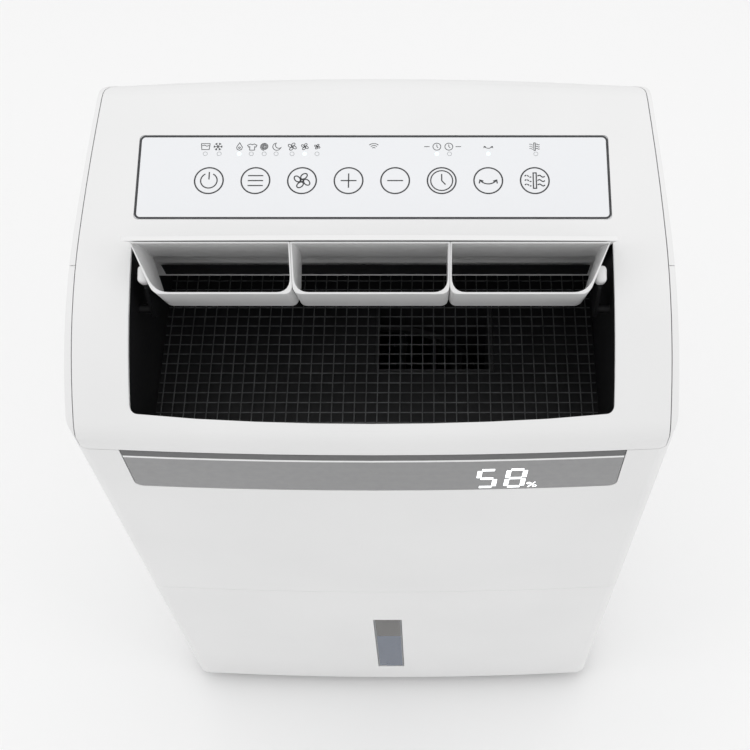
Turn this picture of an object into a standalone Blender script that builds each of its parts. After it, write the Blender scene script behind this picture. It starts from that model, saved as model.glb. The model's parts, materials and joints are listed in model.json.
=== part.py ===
"""A free-standing household dehumidifier, about 30 litres a day, modelled piece by piece.

Metres, +Z up. The front faces -Y and +X is on the right as seen from the front. The origin is on
the floor, under the middle of the object's box. The air comes in at the back and leaves through a
duct under a hinged flap in the top.
"""

import math

import bmesh
import bpy
from mathutils import Matrix, Vector

# Overall sizes of the body
WIDTH = 0.392
BACK_WIDTH = 0.368
DEPTH = 0.233
FRONT_BOW = 0.0055
BACK_BOW = 0.0075
BOW_FULL = 0.003
BOW_GONE = 0.014
COVER_DEPTH = 0.022
UNDERSIDE = 0.013
FRONT_EDGE = 0.519

# The side outline of the top, front to back
FRONT_ROLL = 0.0269
FRONT_ROLL_LIFT = 0.0019
ROLL_END_SLOPE = math.radians(42)
CROWN_RADIUS = 0.230
TOP_SLOPE = math.radians(12)
BACK_ROLL = 0.0175
FRONT_CORNER = 0.012
BACK_CORNER = 0.018

# Walls and clearances
WALL = 0.003
THIN_WALL = 0.002
SEAM = 0.0006
TOUCH = 0.0003
SLACK = 0.0012

# Shells and top cover
SHELL_SEAM = 0.095
RIM = 0.0047
RIM_BACK = 0.0030
TANK_SEAM = 0.262
TANK_WRAP = 0.040

# Control panel, silver trim and display
PANEL_WIDTH = 0.310
PANEL_LENGTH = 0.0607
PANEL_THICKNESS = 0.0008
PANEL_START = 0.1264
TRIM_WIDTH = 0.330
TRIM_HEIGHT = 0.054
TRIM_CORNER = 0.006
TRIM_THICKNESS = 0.0025
DISPLAY_X = 0.088
DISPLAY_WIDTH = 0.056

# Air outlet, duct and flap
OUTLET_WIDTH = 0.310
OUTLET_FRONT = 0.0117
OUTLET_FRONT_BOW = 0.0055
OUTLET_BACK = 0.1130
OUTLET_CORNER = 0.005
FLAP_CORNER = 0.002
FLAP_FRONT_BOW = 0.0035
FLAP_PIVOT_BACK = 0.0902
FLAP_PIVOT_RISE = 0.0280
FLAP_OPEN = math.radians(-93.3)
FLAP_THICKNESS = 0.0025
FLAP_ROOT_SLOPE = math.radians(26.3)
PIN_RADIUS = 0.003
DUCT_SIDE_CLEARANCE = 0.002
DUCT_FRONT = 0.007
DUCT_BACK = 0.172
DUCT_DROP = 0.051
BOARD_POCKET = 0.012
POCKET_BEHIND_PIVOT = 0.0368
GRILLE_DROP = 0.044
GRILLE_THICKNESS = 0.0016

# Louvre under the flap
VANE_DEPTH = 0.0292
VANE_START = 0.023
VANE_END = 0.065
VANE_THICKNESS = 0.0022
VANE_HALF = 0.137
DIVIDER_HALF = 0.148
DIVIDER_X = 0.0495
DIVIDER_THICKNESS = 0.0022
PIVOT_ALONG = 0.0715
PIVOT_BELOW = 0.03165
ARM_X = 0.1464
ARM_THICKNESS = 0.002
BLOCK_X = 0.1405
BLOCK_WIDTH = 0.010
BLOCK_START = 0.030
BLOCK_END = 0.046
BLOCK_TOP = 0.008
BLOCK_FOOT = 0.024

# Fan
FAN_DROP = 0.149
FAN_FRONT = 0.086
FAN_LENGTH = 0.064
IMPELLER_RADIUS = 0.075
SCROLL_GAP = 0.008
SCROLL_GROWTH = 0.010
INLET_RADIUS = 0.060
SHAFT_RADIUS = 0.004
MOTOR_RADIUS = 0.040
MOTOR_LENGTH = 0.036
BLADES = 16

# Refrigerating circuit
COIL_WIDTH = 0.280
COIL_THICKNESS = 0.022
COIL_HEIGHT = 0.178
EVAPORATOR_BACK = 0.194
CONDENSER_BACK = 0.164
COMPRESSOR_RADIUS = 0.048
COMPRESSOR_BACK = 0.172
COMPRESSOR_HEIGHT = 0.180
ACCUMULATOR_RADIUS = 0.018
PIPE_RADIUS = 0.004

# Base and castors
PAN_HEIGHT = 0.023
CASTOR_X = 0.150
CASTOR_FRONT = 0.040
CASTOR_BACK = 0.192
WELL_RADIUS = 0.024
WHEEL_RADIUS = 0.012
WHEEL_WIDTH = 0.014
WHEEL_SIDES = 24
CASTOR_TRAIL = 0.008
STEM_RADIUS = 0.004
AXLE_RADIUS = 0.0015
FORK_ARM = 0.002

# Water tank
TANK_WIDTH = 0.352
TANK_FRONT = 0.0045
TANK_BACK = 0.110
TANK_TOP = 0.212
TANK_WALL = 0.0025
LID_THICKNESS = 0.003
FUNNEL_RADIUS = 0.012
WINDOW_WIDTH = 0.0244
WINDOW_LOW = 0.050
WINDOW_HIGH = 0.190
HANDLE_LENGTH = 0.036
HANDLE_SETBACK = 0.040
HANDLE_ROD = 0.0035
HANDLE_PIN = 0.002
HANDLE_EYE = 0.004
HANDLE_LIFT = 0.001
HANDLE_HALF = TANK_WIDTH / 2 - 0.020
FLOAT_ARM = 0.040

# Back of the body
INLET_WIDTH = 0.296
INLET_LOW = 0.272
INLET_HIGH = 0.498
COVER_MARGIN = 0.010
COVER_WALL = 0.0025
LOUVRE_PITCH = 0.0135
LOUVRE_SLOT = 0.006
GRIP_FRONT = 0.130
GRIP_LENGTH = 0.085
GRIP_LOW = 0.438
GRIP_HEIGHT = 0.030
GRIP_DEPTH = 0.022
GLAND_X = -0.140
GLAND_Z = 0.070
DRAIN_X = 0.140
DRAIN_Z = 0.120
NOZZLE_RADIUS = 0.006

# Places that follow from the sizes above
FRONT_Y = FRONT_BOW - (FRONT_BOW + DEPTH + BACK_BOW + COVER_DEPTH) / 2
BACK_Y = FRONT_Y + DEPTH
COVER_Y = BACK_Y + BACK_BOW + COVER_DEPTH
HALF_WIDTH = WIDTH / 2
OUTLET_HALF = OUTLET_WIDTH / 2
DUCT_HALF = OUTLET_HALF + DUCT_SIDE_CLEARANCE
DUCT_FLOOR = FRONT_EDGE - DUCT_DROP
GRILLE_Z = FRONT_EDGE - GRILLE_DROP
FLAP_PIVOT = Vector((0, FRONT_Y + FLAP_PIVOT_BACK, FRONT_EDGE + FLAP_PIVOT_RISE))
FAN_Z = FRONT_EDGE - FAN_DROP
FAN_Y = FRONT_Y + FAN_FRONT
FAN_BACK_Y = FAN_Y + FAN_LENGTH
PAN_TOP = UNDERSIDE + PAN_HEIGHT
TANK_LOW = PAN_TOP + SLACK
PARTITION_Z = TANK_SEAM + 0.002
TRAY_Z = PARTITION_Z + WALL + TOUCH
COIL_Z = TRAY_Z + 0.008
ABOVE = FRONT_EDGE + 0.2
PAST = 0.03

DEHUMIDIFIER = "dehumidifier"
CUTTERS = "cutters"


# ---------------------------------------------------------------- scene and materials

def clear_scene():
    for obj in list(bpy.data.objects):
        bpy.data.objects.remove(obj, do_unlink=True)
    for name in (DEHUMIDIFIER, CUTTERS):
        group = bpy.data.collections.new(name)
        bpy.context.scene.collection.children.link(group)


def material(name, colour, roughness, metallic=0.0):
    found = bpy.data.materials.get(name)
    if found:
        return found
    made = bpy.data.materials.new(name)
    made.use_nodes = True
    shader = made.node_tree.nodes["Principled BSDF"]
    shader.inputs["Base Color"].default_value = (*colour, 1.0)
    shader.inputs["Roughness"].default_value = roughness
    shader.inputs["Metallic"].default_value = metallic
    made.diffuse_color = (*colour, 1.0)
    return made


def white_plastic():
    return material("white_plastic", (0.80, 0.80, 0.80), 0.42)


def panel_film():
    return material("panel_film", (0.84, 0.85, 0.87), 0.30)


def silver_trim():
    return material("silver_trim", (0.42, 0.42, 0.42), 0.32, 0.85)


def black_plastic():
    return material("black_plastic", (0.012, 0.012, 0.013), 0.50)


def grey_plastic():
    return material("grey_plastic", (0.25, 0.25, 0.26), 0.55)


def clear_smoke():
    return material("smoked_window", (0.14, 0.17, 0.21), 0.12)


def natural_plastic():
    return material("natural_plastic", (0.62, 0.65, 0.67), 0.35)


def aluminium():
    return material("aluminium", (0.70, 0.71, 0.72), 0.38, 1.0)


def copper():
    return material("copper", (0.72, 0.37, 0.22), 0.32, 1.0)


def steel():
    return material("steel", (0.55, 0.56, 0.57), 0.35, 1.0)


def black_enamel():
    return material("black_enamel", (0.02, 0.02, 0.022), 0.28)


def circuit_board():
    return material("circuit_board", (0.02, 0.13, 0.06), 0.45)


def filter_fleece():
    return material("filter_fleece", (0.10, 0.11, 0.12), 0.95)


def rubber():
    return material("rubber", (0.03, 0.03, 0.03), 0.80)


# ---------------------------------------------------------------- modelling helpers

def add_object(name, mesh, surface=None):
    obj = bpy.data.objects.new(name, mesh)
    bpy.data.collections[DEHUMIDIFIER].objects.link(obj)
    if surface:
        mesh.materials.clear()
        mesh.materials.append(surface)
    return obj


def from_bmesh(name, bm, surface=None):
    bmesh.ops.recalc_face_normals(bm, faces=bm.faces)
    mesh = bpy.data.meshes.new(name)
    bm.to_mesh(mesh)
    bm.free()
    return add_object(name, mesh, surface)


def box(name, x, y, z, surface=None, bevel=0.0):
    """A block between the low and high values in x, y and z."""
    bm = bmesh.new()
    low = Vector((x[0], y[0], z[0]))
    high = Vector((x[1], y[1], z[1]))
    place = Matrix.LocRotScale((low + high) / 2, None, high - low)
    bmesh.ops.create_cube(bm, size=1.0, matrix=place)
    obj = from_bmesh(name, bm, surface)
    if bevel:
        round_edges(obj, bevel)
    return obj


def round_edges(obj, width, segments=2, angle=math.radians(40)):
    bevel = obj.modifiers.new("rounded edges", "BEVEL")
    bevel.width = width
    bevel.segments = segments
    bevel.limit_method = "ANGLE"
    bevel.angle_limit = angle
    return obj


def cylinder(name, radius, start, end, surface=None, end_radius=None, sides=32, turn=0.0):
    """A round bar or a cone from start to end, with flat ends."""
    start = Vector(start)
    end = Vector(end)
    along = end - start
    aim = along.to_track_quat("Z", "Y").to_matrix().to_4x4()
    place = Matrix.Translation((start + end) / 2) @ aim @ Matrix.Rotation(turn, 4, "Z")
    bm = bmesh.new()
    bmesh.ops.create_cone(bm, cap_ends=True, segments=sides, radius1=radius,
                          radius2=radius if end_radius is None else end_radius,
                          depth=along.length, matrix=place)
    return shade_round(from_bmesh(name, bm, surface))


def outline_solid(name, points, along, surface=None):
    """The solid that a closed outline of points sweeps along a vector."""
    bm = bmesh.new()
    face = bm.faces.new([bm.verts.new(point) for point in points])
    swept = bmesh.ops.extrude_face_region(bm, geom=[face])
    moved = [item for item in swept["geom"] if isinstance(item, bmesh.types.BMVert)]
    bmesh.ops.translate(bm, verts=moved, vec=along)
    return from_bmesh(name, bm, surface)


def plan_solid(name, points, low, high, surface=None):
    return outline_solid(name, [(x, y, low) for x, y in points], (0, 0, high - low), surface)


def turned(name, profile, place, surface=None, steps=32):
    """A profile of radius and height turned about Z, top to bottom, and put in place."""
    mesh = bpy.data.meshes.new(name)
    points = [(radius, 0, height) for radius, height in profile]
    edges = [(i, i + 1) for i in range(len(points) - 1)]
    mesh.from_pydata(points, edges, [])
    obj = add_object(name, mesh)
    screw = obj.modifiers.new("turned", "SCREW")
    screw.axis = "Z"
    screw.steps = steps
    screw.render_steps = steps
    screw.use_merge_vertices = True
    screw.merge_threshold = 0.00001
    screw.use_smooth_shade = True
    obj = baked(obj, surface)
    obj.data.transform(place)
    return obj


def pipe(name, points, radius, surface, bends=3):
    """A round tube along a smooth line through the points."""
    curve = bpy.data.curves.new(name, "CURVE")
    curve.dimensions = "3D"
    curve.bevel_depth = radius
    curve.bevel_resolution = 2
    curve.use_fill_caps = True
    curve.resolution_u = bends
    spline = curve.splines.new("NURBS")
    spline.points.add(len(points) - 1)
    for point, place in zip(spline.points, points):
        point.co = (*place, 1.0)
    spline.use_endpoint_u = True
    spline.order_u = 3
    tube = bpy.data.objects.new(name, curve)
    bpy.data.collections[DEHUMIDIFIER].objects.link(tube)
    return shade_round(baked(tube, surface))


def baked(obj, surface=None):
    """The evaluated shape of an object as a plain mesh object of the same name."""
    graph = bpy.context.evaluated_depsgraph_get()
    mesh = bpy.data.meshes.new_from_object(obj.evaluated_get(graph), depsgraph=graph)
    mesh.transform(obj.matrix_world)
    name = obj.name
    bpy.data.objects.remove(obj, do_unlink=True)
    bm = bmesh.new()
    bm.from_mesh(mesh)
    bmesh.ops.remove_doubles(bm, verts=bm.verts, dist=0.00001)
    bmesh.ops.recalc_face_normals(bm, faces=bm.faces)
    bm.to_mesh(mesh)
    bm.free()
    return add_object(name, mesh, surface)


def shade_round(obj, angle=math.radians(35)):
    obj.data.shade_smooth()
    obj.data.set_sharp_from_angle(angle=angle)
    return obj


def hide_cutter(cutter):
    cutter.hide_render = True
    cutter.display_type = "WIRE"
    for group in list(cutter.users_collection):
        group.objects.unlink(cutter)
    bpy.data.collections[CUTTERS].objects.link(cutter)


def combine(obj, other, operation):
    change = obj.modifiers.new(other.name, "BOOLEAN")
    change.operation = operation
    change.solver = "EXACT"
    change.object = other
    if other.name not in bpy.data.collections[CUTTERS].objects:
        hide_cutter(other)
    return obj


def cut(obj, *cutters):
    for cutter in cutters:
        combine(obj, cutter, "DIFFERENCE")
    return obj


def join(obj, *others):
    for other in others:
        combine(obj, other, "UNION")
    return obj


def keep_inside(obj, *others):
    for other in others:
        combine(obj, other, "INTERSECT")
    return obj


def settle(obj, surface=None):
    """The finished shape of a piece, with its modifiers made into plain faces."""
    bpy.context.view_layer.update()
    return shade_round(baked(obj, surface))


def set_origin(obj, point):
    point = Vector(point)
    obj.data.transform(Matrix.Translation(-point))
    obj.location = point
    return obj


# ---------------------------------------------------------------- the body's outer form

def arc(centre, radius, start, end, steps):
    """Points on an arc between two angles in degrees, both ends included."""
    for step in range(steps + 1):
        angle = math.radians(start + (end - start) * step / steps)
        yield centre[0] + radius * math.cos(angle), centre[1] + radius * math.sin(angle)


def ease(value, low, high):
    share = min(max((value - low) / (high - low), 0.0), 1.0)
    return share * share * (3 - 2 * share)


ROLL_CENTRE = (FRONT_Y + FRONT_ROLL, FRONT_EDGE + FRONT_ROLL_LIFT)
CROWN_CENTRE = (ROLL_CENTRE[0] + (CROWN_RADIUS - FRONT_ROLL) * math.sin(ROLL_END_SLOPE),
                ROLL_CENTRE[1] - (CROWN_RADIUS - FRONT_ROLL) * math.cos(ROLL_END_SLOPE))
CROWN_END = (CROWN_CENTRE[0] - CROWN_RADIUS * math.sin(TOP_SLOPE),
             CROWN_CENTRE[1] + CROWN_RADIUS * math.cos(TOP_SLOPE))


def plane_height(y):
    """Height of the straight, sloping part of the top."""
    return CROWN_END[1] + (y - CROWN_END[0]) * math.tan(TOP_SLOPE)


BACK_CENTRE = (BACK_Y - BACK_ROLL,
               plane_height(BACK_Y - BACK_ROLL) - BACK_ROLL / math.cos(TOP_SLOPE))
FADE_START = BACK_Y - BACK_ROLL - 0.026
FADE_END = BACK_Y - BACK_ROLL - 0.004


def side_outline(inset, low):
    """The body's outline in y and z, this far inside its surface and open below at low."""
    slope = math.degrees(TOP_SLOPE)
    steep = math.degrees(ROLL_END_SLOPE)
    points = [(FRONT_Y + inset, low)]
    points += arc(ROLL_CENTRE, FRONT_ROLL - inset, 180, 90 + steep, 6)
    points += list(arc(CROWN_CENTRE, CROWN_RADIUS - inset, 90 + steep, 90 + slope, 9))[1:]
    points.append((FADE_START, plane_height(FADE_START) - inset / math.cos(TOP_SLOPE)))
    points += arc(BACK_CENTRE, BACK_ROLL - inset, 90 + slope, 0, 7)
    points.append((BACK_Y - inset, low))
    return points


def bow(x, y):
    """How far the front and the back bulge at a place."""
    front = max(0.0, 1 - (x / HALF_WIDTH) ** 2) * (1 - ease(y, FRONT_Y + BOW_FULL, FRONT_Y + BOW_GONE))
    back = max(0.0, 1 - (x / (BACK_WIDTH / 2)) ** 2) * ease(y, FADE_START, FADE_END)
    return BACK_BOW * back - FRONT_BOW * front


def bowed_block(inset, low):
    """The side outline swept across the width, with its front and back bulging."""
    spans = 12
    reach = HALF_WIDTH + 0.006
    bm = bmesh.new()
    outline = [bm.verts.new((-reach, y, z)) for y, z in side_outline(inset, low)]
    front = [bm.faces.new(outline)]
    for span in range(spans):
        swept = bmesh.ops.extrude_face_region(bm, geom=front)
        if span:
            bmesh.ops.delete(bm, geom=front, context="FACES_ONLY")
        moved = [item for item in swept["geom"] if isinstance(item, bmesh.types.BMVert)]
        front = [item for item in swept["geom"] if isinstance(item, bmesh.types.BMFace)]
        bmesh.ops.translate(bm, verts=moved, vec=(2 * reach / spans, 0, 0))
    for vert in bm.verts:
        vert.co.y += bow(vert.co.x, vert.co.y)
    return from_bmesh("bowed block", bm)


def side_x(y):
    """Half the body's width at a place along its depth."""
    narrowing = (WIDTH - BACK_WIDTH) / 2
    return HALF_WIDTH - narrowing * (max(y - FRONT_Y, 0) / DEPTH) ** 2


def plan_outline(inset, past_front, past_back):
    """The body's sides seen from above, run past its front and its back."""
    front_x = HALF_WIDTH - FRONT_CORNER
    front_y = FRONT_Y + bow(front_x, FRONT_Y) + 0.99 * FRONT_CORNER
    back_x = side_x(BACK_Y - BACK_CORNER) - BACK_CORNER
    back_y = BACK_Y + bow(back_x, BACK_Y) - 0.99 * BACK_CORNER
    half = [(0, FRONT_Y - FRONT_BOW - past_front)]
    front_arc = list(arc((front_x, front_y), FRONT_CORNER - inset, -80, 0, 6))
    tail = math.radians(80)
    half.append((front_arc[0][0] - 0.03 * math.sin(tail), front_arc[0][1] - 0.03 * math.cos(tail)))
    half += front_arc
    spans = 10
    for step in range(1, spans):
        y = front_y + (back_y - front_y) * step / spans
        half.append((side_x(y) - inset, y))
    back_arc = list(arc((back_x, back_y), BACK_CORNER - inset, 0, 78, 6))
    half += back_arc
    half.append((back_arc[-1][0] - 0.05 * math.sin(math.radians(78)),
                 back_arc[-1][1] + 0.05 * math.cos(math.radians(78))))
    half.append((0, BACK_Y + BACK_BOW + past_back))
    return half + [(-x, y) for x, y in reversed(half[1:-1])]


def body_form(name, inset, low):
    """The body's solid outer form, made smaller all round by an inset."""
    block = bowed_block(inset, low)
    sides = plan_solid("body sides", plan_outline(inset, 0.02, 0.02), low - 0.02, ABOVE)
    keep_inside(block, sides)
    form = settle(block)
    bpy.data.objects.remove(sides, do_unlink=True)
    form.name = name
    return form


def copy_of(form, name):
    return add_object(name, form.data.copy())


def shell_form(name, thickness, low):
    """A wall of the body, open below."""
    shell = body_form(name, 0.0, low)
    hollow = body_form(name + " hollow", thickness, low - 0.01)
    cut(shell, hollow)
    return settle(shell)


def rim_width(y):
    """The rim beside the top cover, narrower towards the back."""
    return RIM + (RIM_BACK - RIM) * ease(y, FRONT_Y, BACK_Y - BACK_CORNER)


def top_region(name, clearance):
    """What lies inside the rim line and above the trim: the top cover's place."""
    inset = RIM_BACK + clearance
    back_x = side_x(BACK_Y - BACK_CORNER) - BACK_CORNER
    back_y = BACK_Y + bow(back_x, BACK_Y) - BACK_CORNER
    ahead = FRONT_Y - FRONT_BOW - PAST
    half = [(0, ahead), (HALF_WIDTH - RIM - clearance, ahead)]
    spans = 10
    for step in range(spans):
        y = FRONT_Y + (back_y - FRONT_Y) * step / spans
        half.append((side_x(y) - rim_width(y) - clearance, y))
    half += arc((back_x, back_y), BACK_CORNER - inset, 0, 84, 8)
    for share in (0.75, 0.5, 0.25, 0.0):
        x = back_x * share
        half.append((x, BACK_Y + bow(x, BACK_Y) - inset))
    outline = half + [(-x, y) for x, y in reversed(half[1:-1])]
    return plan_solid(name, outline, FRONT_EDGE + clearance, ABOVE)


def outlet_outline(clearance, back, corner, front_bow):
    """The air outlet from above, with its bowed front edge and its rounded front corners."""
    edge = OUTLET_HALF - clearance
    ends = FRONT_Y + OUTLET_FRONT + clearance
    half = []
    for share in (0.0, 0.25, 0.5, 0.75):
        x = share * (edge - corner)
        half.append((x, ends - front_bow * (1 - (x / OUTLET_HALF) ** 2)))
    half += arc((edge - corner, ends + corner), corner, -90, 0, 5)
    half.append((edge, back))
    half.append((0, back))
    return half + [(-x, y) for x, y in reversed(half[1:-1])]


def outlet_region(name):
    """The air outlet's cut-out in the top."""
    outline = outlet_outline(0.0, FRONT_Y + OUTLET_BACK, OUTLET_CORNER, OUTLET_FRONT_BOW)
    return plan_solid(name, outline, FRONT_EDGE - 0.01, ABOVE)


def flap_region(name):
    """The flap's own outline, straighter in front than the outlet that it closes."""
    outline = outlet_outline(SLACK, FRONT_Y + OUTLET_BACK - SLACK, FLAP_CORNER, FLAP_FRONT_BOW)
    return plan_solid(name, outline, FRONT_EDGE - 0.01, ABOVE)


def flap_sweep(name, half):
    """The round space that the flap's back edge turns through."""
    reach = OUTLET_BACK - FLAP_PIVOT_BACK
    rise = plane_height(FRONT_Y + OUTLET_BACK) - FLAP_PIVOT.z
    radius = math.hypot(reach, rise)
    return cylinder(name, radius, FLAP_PIVOT - Vector((half, 0, 0)),
                    FLAP_PIVOT + Vector((half, 0, 0)), sides=56)


def panel_place():
    """The middle of the control panel, on the sloping top."""
    middle = FRONT_Y + PANEL_START + PANEL_LENGTH / 2 * math.cos(TOP_SLOPE)
    return Matrix.Translation((0, middle, plane_height(middle))) @ Matrix.Rotation(TOP_SLOPE, 4, "X")


def rounded_plate(name, width, length, corner, low, high, surface=None):
    """A flat plate about the origin with rounded corners."""
    points = []
    for sign_x, sign_y, start in ((1, 1, 0), (-1, 1, 90), (-1, -1, 180), (1, -1, 270)):
        centre = (sign_x * (width / 2 - corner), sign_y * (length / 2 - corner))
        points += arc(centre, corner, start, start + 90, 4)
    return plan_solid(name, points, low, high, surface)


# ---------------------------------------------------------------- shells

def make_shells():
    shell = shell_form("shell", WALL, UNDERSIDE)
    make_top_cover(shell)
    make_front_shell(shell)
    make_rear_shell(shell)
    make_tank_front(shell)
    make_trim()
    make_panel()
    bpy.data.objects.remove(shell, do_unlink=True)


def make_top_cover(shell):
    cover = copy_of(shell, "top_cover")
    keep_inside(cover, top_region("top cover region", SEAM / 2))
    cut(cover, outlet_region("outlet cut"))
    cut(cover, flap_sweep("outlet back undercut", OUTLET_HALF))
    depth = PANEL_THICKNESS + TOUCH
    recess = rounded_plate("panel recess", PANEL_WIDTH + SEAM, PANEL_LENGTH + SEAM, 0.003,
                           -depth, 0.02)
    recess.matrix_world = panel_place()
    cut(cover, recess)
    settle(cover, white_plastic())


def tank_opening(name, clearance):
    """The space at the front that belongs to the water tank's own front."""
    return box(name, (-0.3, 0.3), (FRONT_Y - 0.05, FRONT_Y + TANK_WRAP + clearance),
               (UNDERSIDE - 0.02, TANK_SEAM + clearance))


def trim_region(name, clearance):
    """The trim's outline, with rounded lower corners, run through the front wall."""
    half = TRIM_WIDTH / 2 + clearance
    low = FRONT_EDGE - TRIM_HEIGHT - clearance
    top = FRONT_EDGE + (0.02 if clearance else -SEAM / 2)
    points = [(half, top)]
    points += arc((half - TRIM_CORNER, low + TRIM_CORNER), TRIM_CORNER, 0, -90, 5)
    points += arc((TRIM_CORNER - half, low + TRIM_CORNER), TRIM_CORNER, -90, -180, 5)
    points.append((-half, top))
    start = FRONT_Y - 0.05
    return outline_solid(name, [(x, start, z) for x, z in points], (0, 0.07, 0))


def make_front_shell(shell):
    front = copy_of(shell, "front_shell")
    seam = FRONT_Y + SHELL_SEAM - SEAM / 2
    keep_inside(front, box("front shell region", (-0.3, 0.3), (FRONT_Y - 0.1, seam), (0, ABOVE)))
    cut(front, top_region("front shell top cut", -SEAM / 2))
    cut(front, tank_opening("tank opening", SEAM / 2), trim_region("trim opening", SEAM))
    settle(front, white_plastic())


def grip_box(name, side, clearance, past):
    """The block of a hand grip in one side wall."""
    start = FRONT_Y + GRIP_FRONT
    wall = side_x(start + GRIP_LENGTH)
    x = sorted((side * (wall - GRIP_DEPTH - clearance), side * (wall + past)))
    return box(name, x, (start - clearance, start + GRIP_LENGTH + clearance),
               (GRIP_LOW - clearance, GRIP_LOW + GRIP_HEIGHT + clearance))


def make_rear_shell(shell):
    rear = copy_of(shell, "rear_shell")
    seam = FRONT_Y + SHELL_SEAM + SEAM / 2
    keep_inside(rear, box("rear shell region", (-0.3, 0.3), (seam, BACK_Y + 0.1), (0, ABOVE)))
    cut(rear, top_region("rear shell top cut", -SEAM / 2))
    cut(rear, box("air inlet", (-INLET_WIDTH / 2, INLET_WIDTH / 2), (BACK_Y - 0.02, BACK_Y + 0.03),
                  (INLET_LOW, INLET_HIGH)))
    for side in (-1, 1):
        cut(rear, grip_box(f"grip opening {side}", side, TOUCH, 0.03))
    behind = BACK_Y + PAST
    for x, z, radius in ((GLAND_X, GLAND_Z, 0.0075), (DRAIN_X, DRAIN_Z, NOZZLE_RADIUS)):
        cut(rear, cylinder(f"back hole {z}", radius + TOUCH, (x, BACK_Y - 0.02, z), (x, behind, z)))
    settle(rear, white_plastic())


def make_tank_front(shell):
    front = copy_of(shell, "tank_front")
    keep_inside(front, tank_opening("tank front region", -SEAM / 2))
    half = WINDOW_WIDTH / 2 + TOUCH
    cut(front, box("window opening", (-half, half), (FRONT_Y - 0.02, FRONT_Y + 0.02),
                   (WINDOW_LOW - TOUCH, WINDOW_HIGH + TOUCH)))
    settle(front, white_plastic())


def make_trim():
    trim = body_form("display_trim", 0.0, UNDERSIDE)
    hollow = body_form("trim back", TRIM_THICKNESS, UNDERSIDE - 0.01)
    cut(trim, hollow)
    keep_inside(trim, trim_region("trim region", 0.0))
    settle(trim, silver_trim())


def make_panel():
    panel = rounded_plate("control_panel", PANEL_WIDTH, PANEL_LENGTH, 0.003, -PANEL_THICKNESS, 0,
                          panel_film())
    panel.matrix_world = panel_place()


# ---------------------------------------------------------------- duct, grille and flap

def pocket_cutter(name, depth, start):
    """The space above a plane that lies this far under the sloping top."""
    thickness = 0.05
    block = box(name, (-0.3, 0.3), (start, start + 0.2), (-depth, thickness))
    block.data.transform(Matrix.Translation((0, -start, 0)))
    block.matrix_world = (Matrix.Translation((0, start, plane_height(start)))
                          @ Matrix.Rotation(TOP_SLOPE, 4, "X"))
    return block


def duct_space(name, wall, low, high):
    half = DUCT_HALF + wall
    return box(name, (-half, half), (FRONT_Y + DUCT_FRONT - wall, FRONT_Y + DUCT_BACK + wall),
               (low, high))


def make_duct():
    duct = duct_space("outlet_duct", THIN_WALL, DUCT_FLOOR, ABOVE)
    keep_inside(duct, body_form("duct top", WALL + SEAM, DUCT_FLOOR - 0.02))
    pocket = FLAP_PIVOT.y + POCKET_BEHIND_PIVOT
    cut(duct, pocket_cutter("board pocket", BOARD_POCKET, pocket))
    hollow = duct_space("duct hollow", 0.0, DUCT_FLOOR + THIN_WALL, ABOVE + 0.05)
    cut(hollow, pocket_cutter("duct ceiling", BOARD_POCKET + THIN_WALL, pocket - THIN_WALL))
    cut(duct, hollow)
    cut(duct, scroll_neck("duct inlet", TOUCH, DUCT_FLOOR + 0.02))
    reach = Vector((DUCT_HALF + 0.02, 0, 0))
    cut(duct, cylinder("pin holes", PIN_RADIUS + TOUCH, FLAP_PIVOT - reach, FLAP_PIVOT + reach))
    settle(duct, black_plastic())


def make_grille():
    """The guard over the duct's floor, with open squares between its bars."""
    half = DUCT_HALF - SEAM
    front = FRONT_Y + DUCT_FRONT + SEAM
    back = FRONT_Y + DUCT_BACK - SEAM
    grille = box("outlet_grille", (-half, half), (front, back),
                 (GRILLE_Z, GRILLE_Z + GRILLE_THICKNESS))
    columns = 8
    rows = 4
    bar = 0.003
    step_x = (2 * half - bar) / columns
    step_y = (back - front - bar) / rows
    for column in range(columns):
        for row in range(rows):
            x = -half + bar + column * step_x
            y = front + bar + row * step_y
            cut(grille, box(f"grille hole {column} {row}", (x, x + step_x - bar),
                            (y, y + step_y - bar), (GRILLE_Z - 0.01, GRILLE_Z + 0.01)))
    settle(grille, black_plastic())


def chord_point(along, below, x=0.0):
    """A place on the closed flap: along its chord from the front edge and below it."""
    edge = FRONT_Y + OUTLET_FRONT + SEAM / 2
    height = CROWN_CENTRE[1] + math.sqrt(CROWN_RADIUS ** 2 - (CROWN_CENTRE[0] - edge) ** 2)
    cos = math.cos(FLAP_ROOT_SLOPE)
    sin = math.sin(FLAP_ROOT_SLOPE)
    return Vector((x, edge + along * cos + below * sin, height + along * sin - below * cos))


def open_flap(obj):
    """Puts a piece that was made on the closed flap on the open one."""
    set_origin(obj, FLAP_PIVOT)
    obj.rotation_euler = (FLAP_OPEN, 0, 0)
    return obj


def make_flap_plate():
    plate = body_form("flap_plate", 0.0, FRONT_EDGE - 0.05)
    cut(plate, body_form("flap underside", FLAP_THICKNESS, FRONT_EDGE - 0.06))
    keep_inside(plate, flap_region("flap outline"))
    open_flap(settle(plate, white_plastic()))


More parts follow.
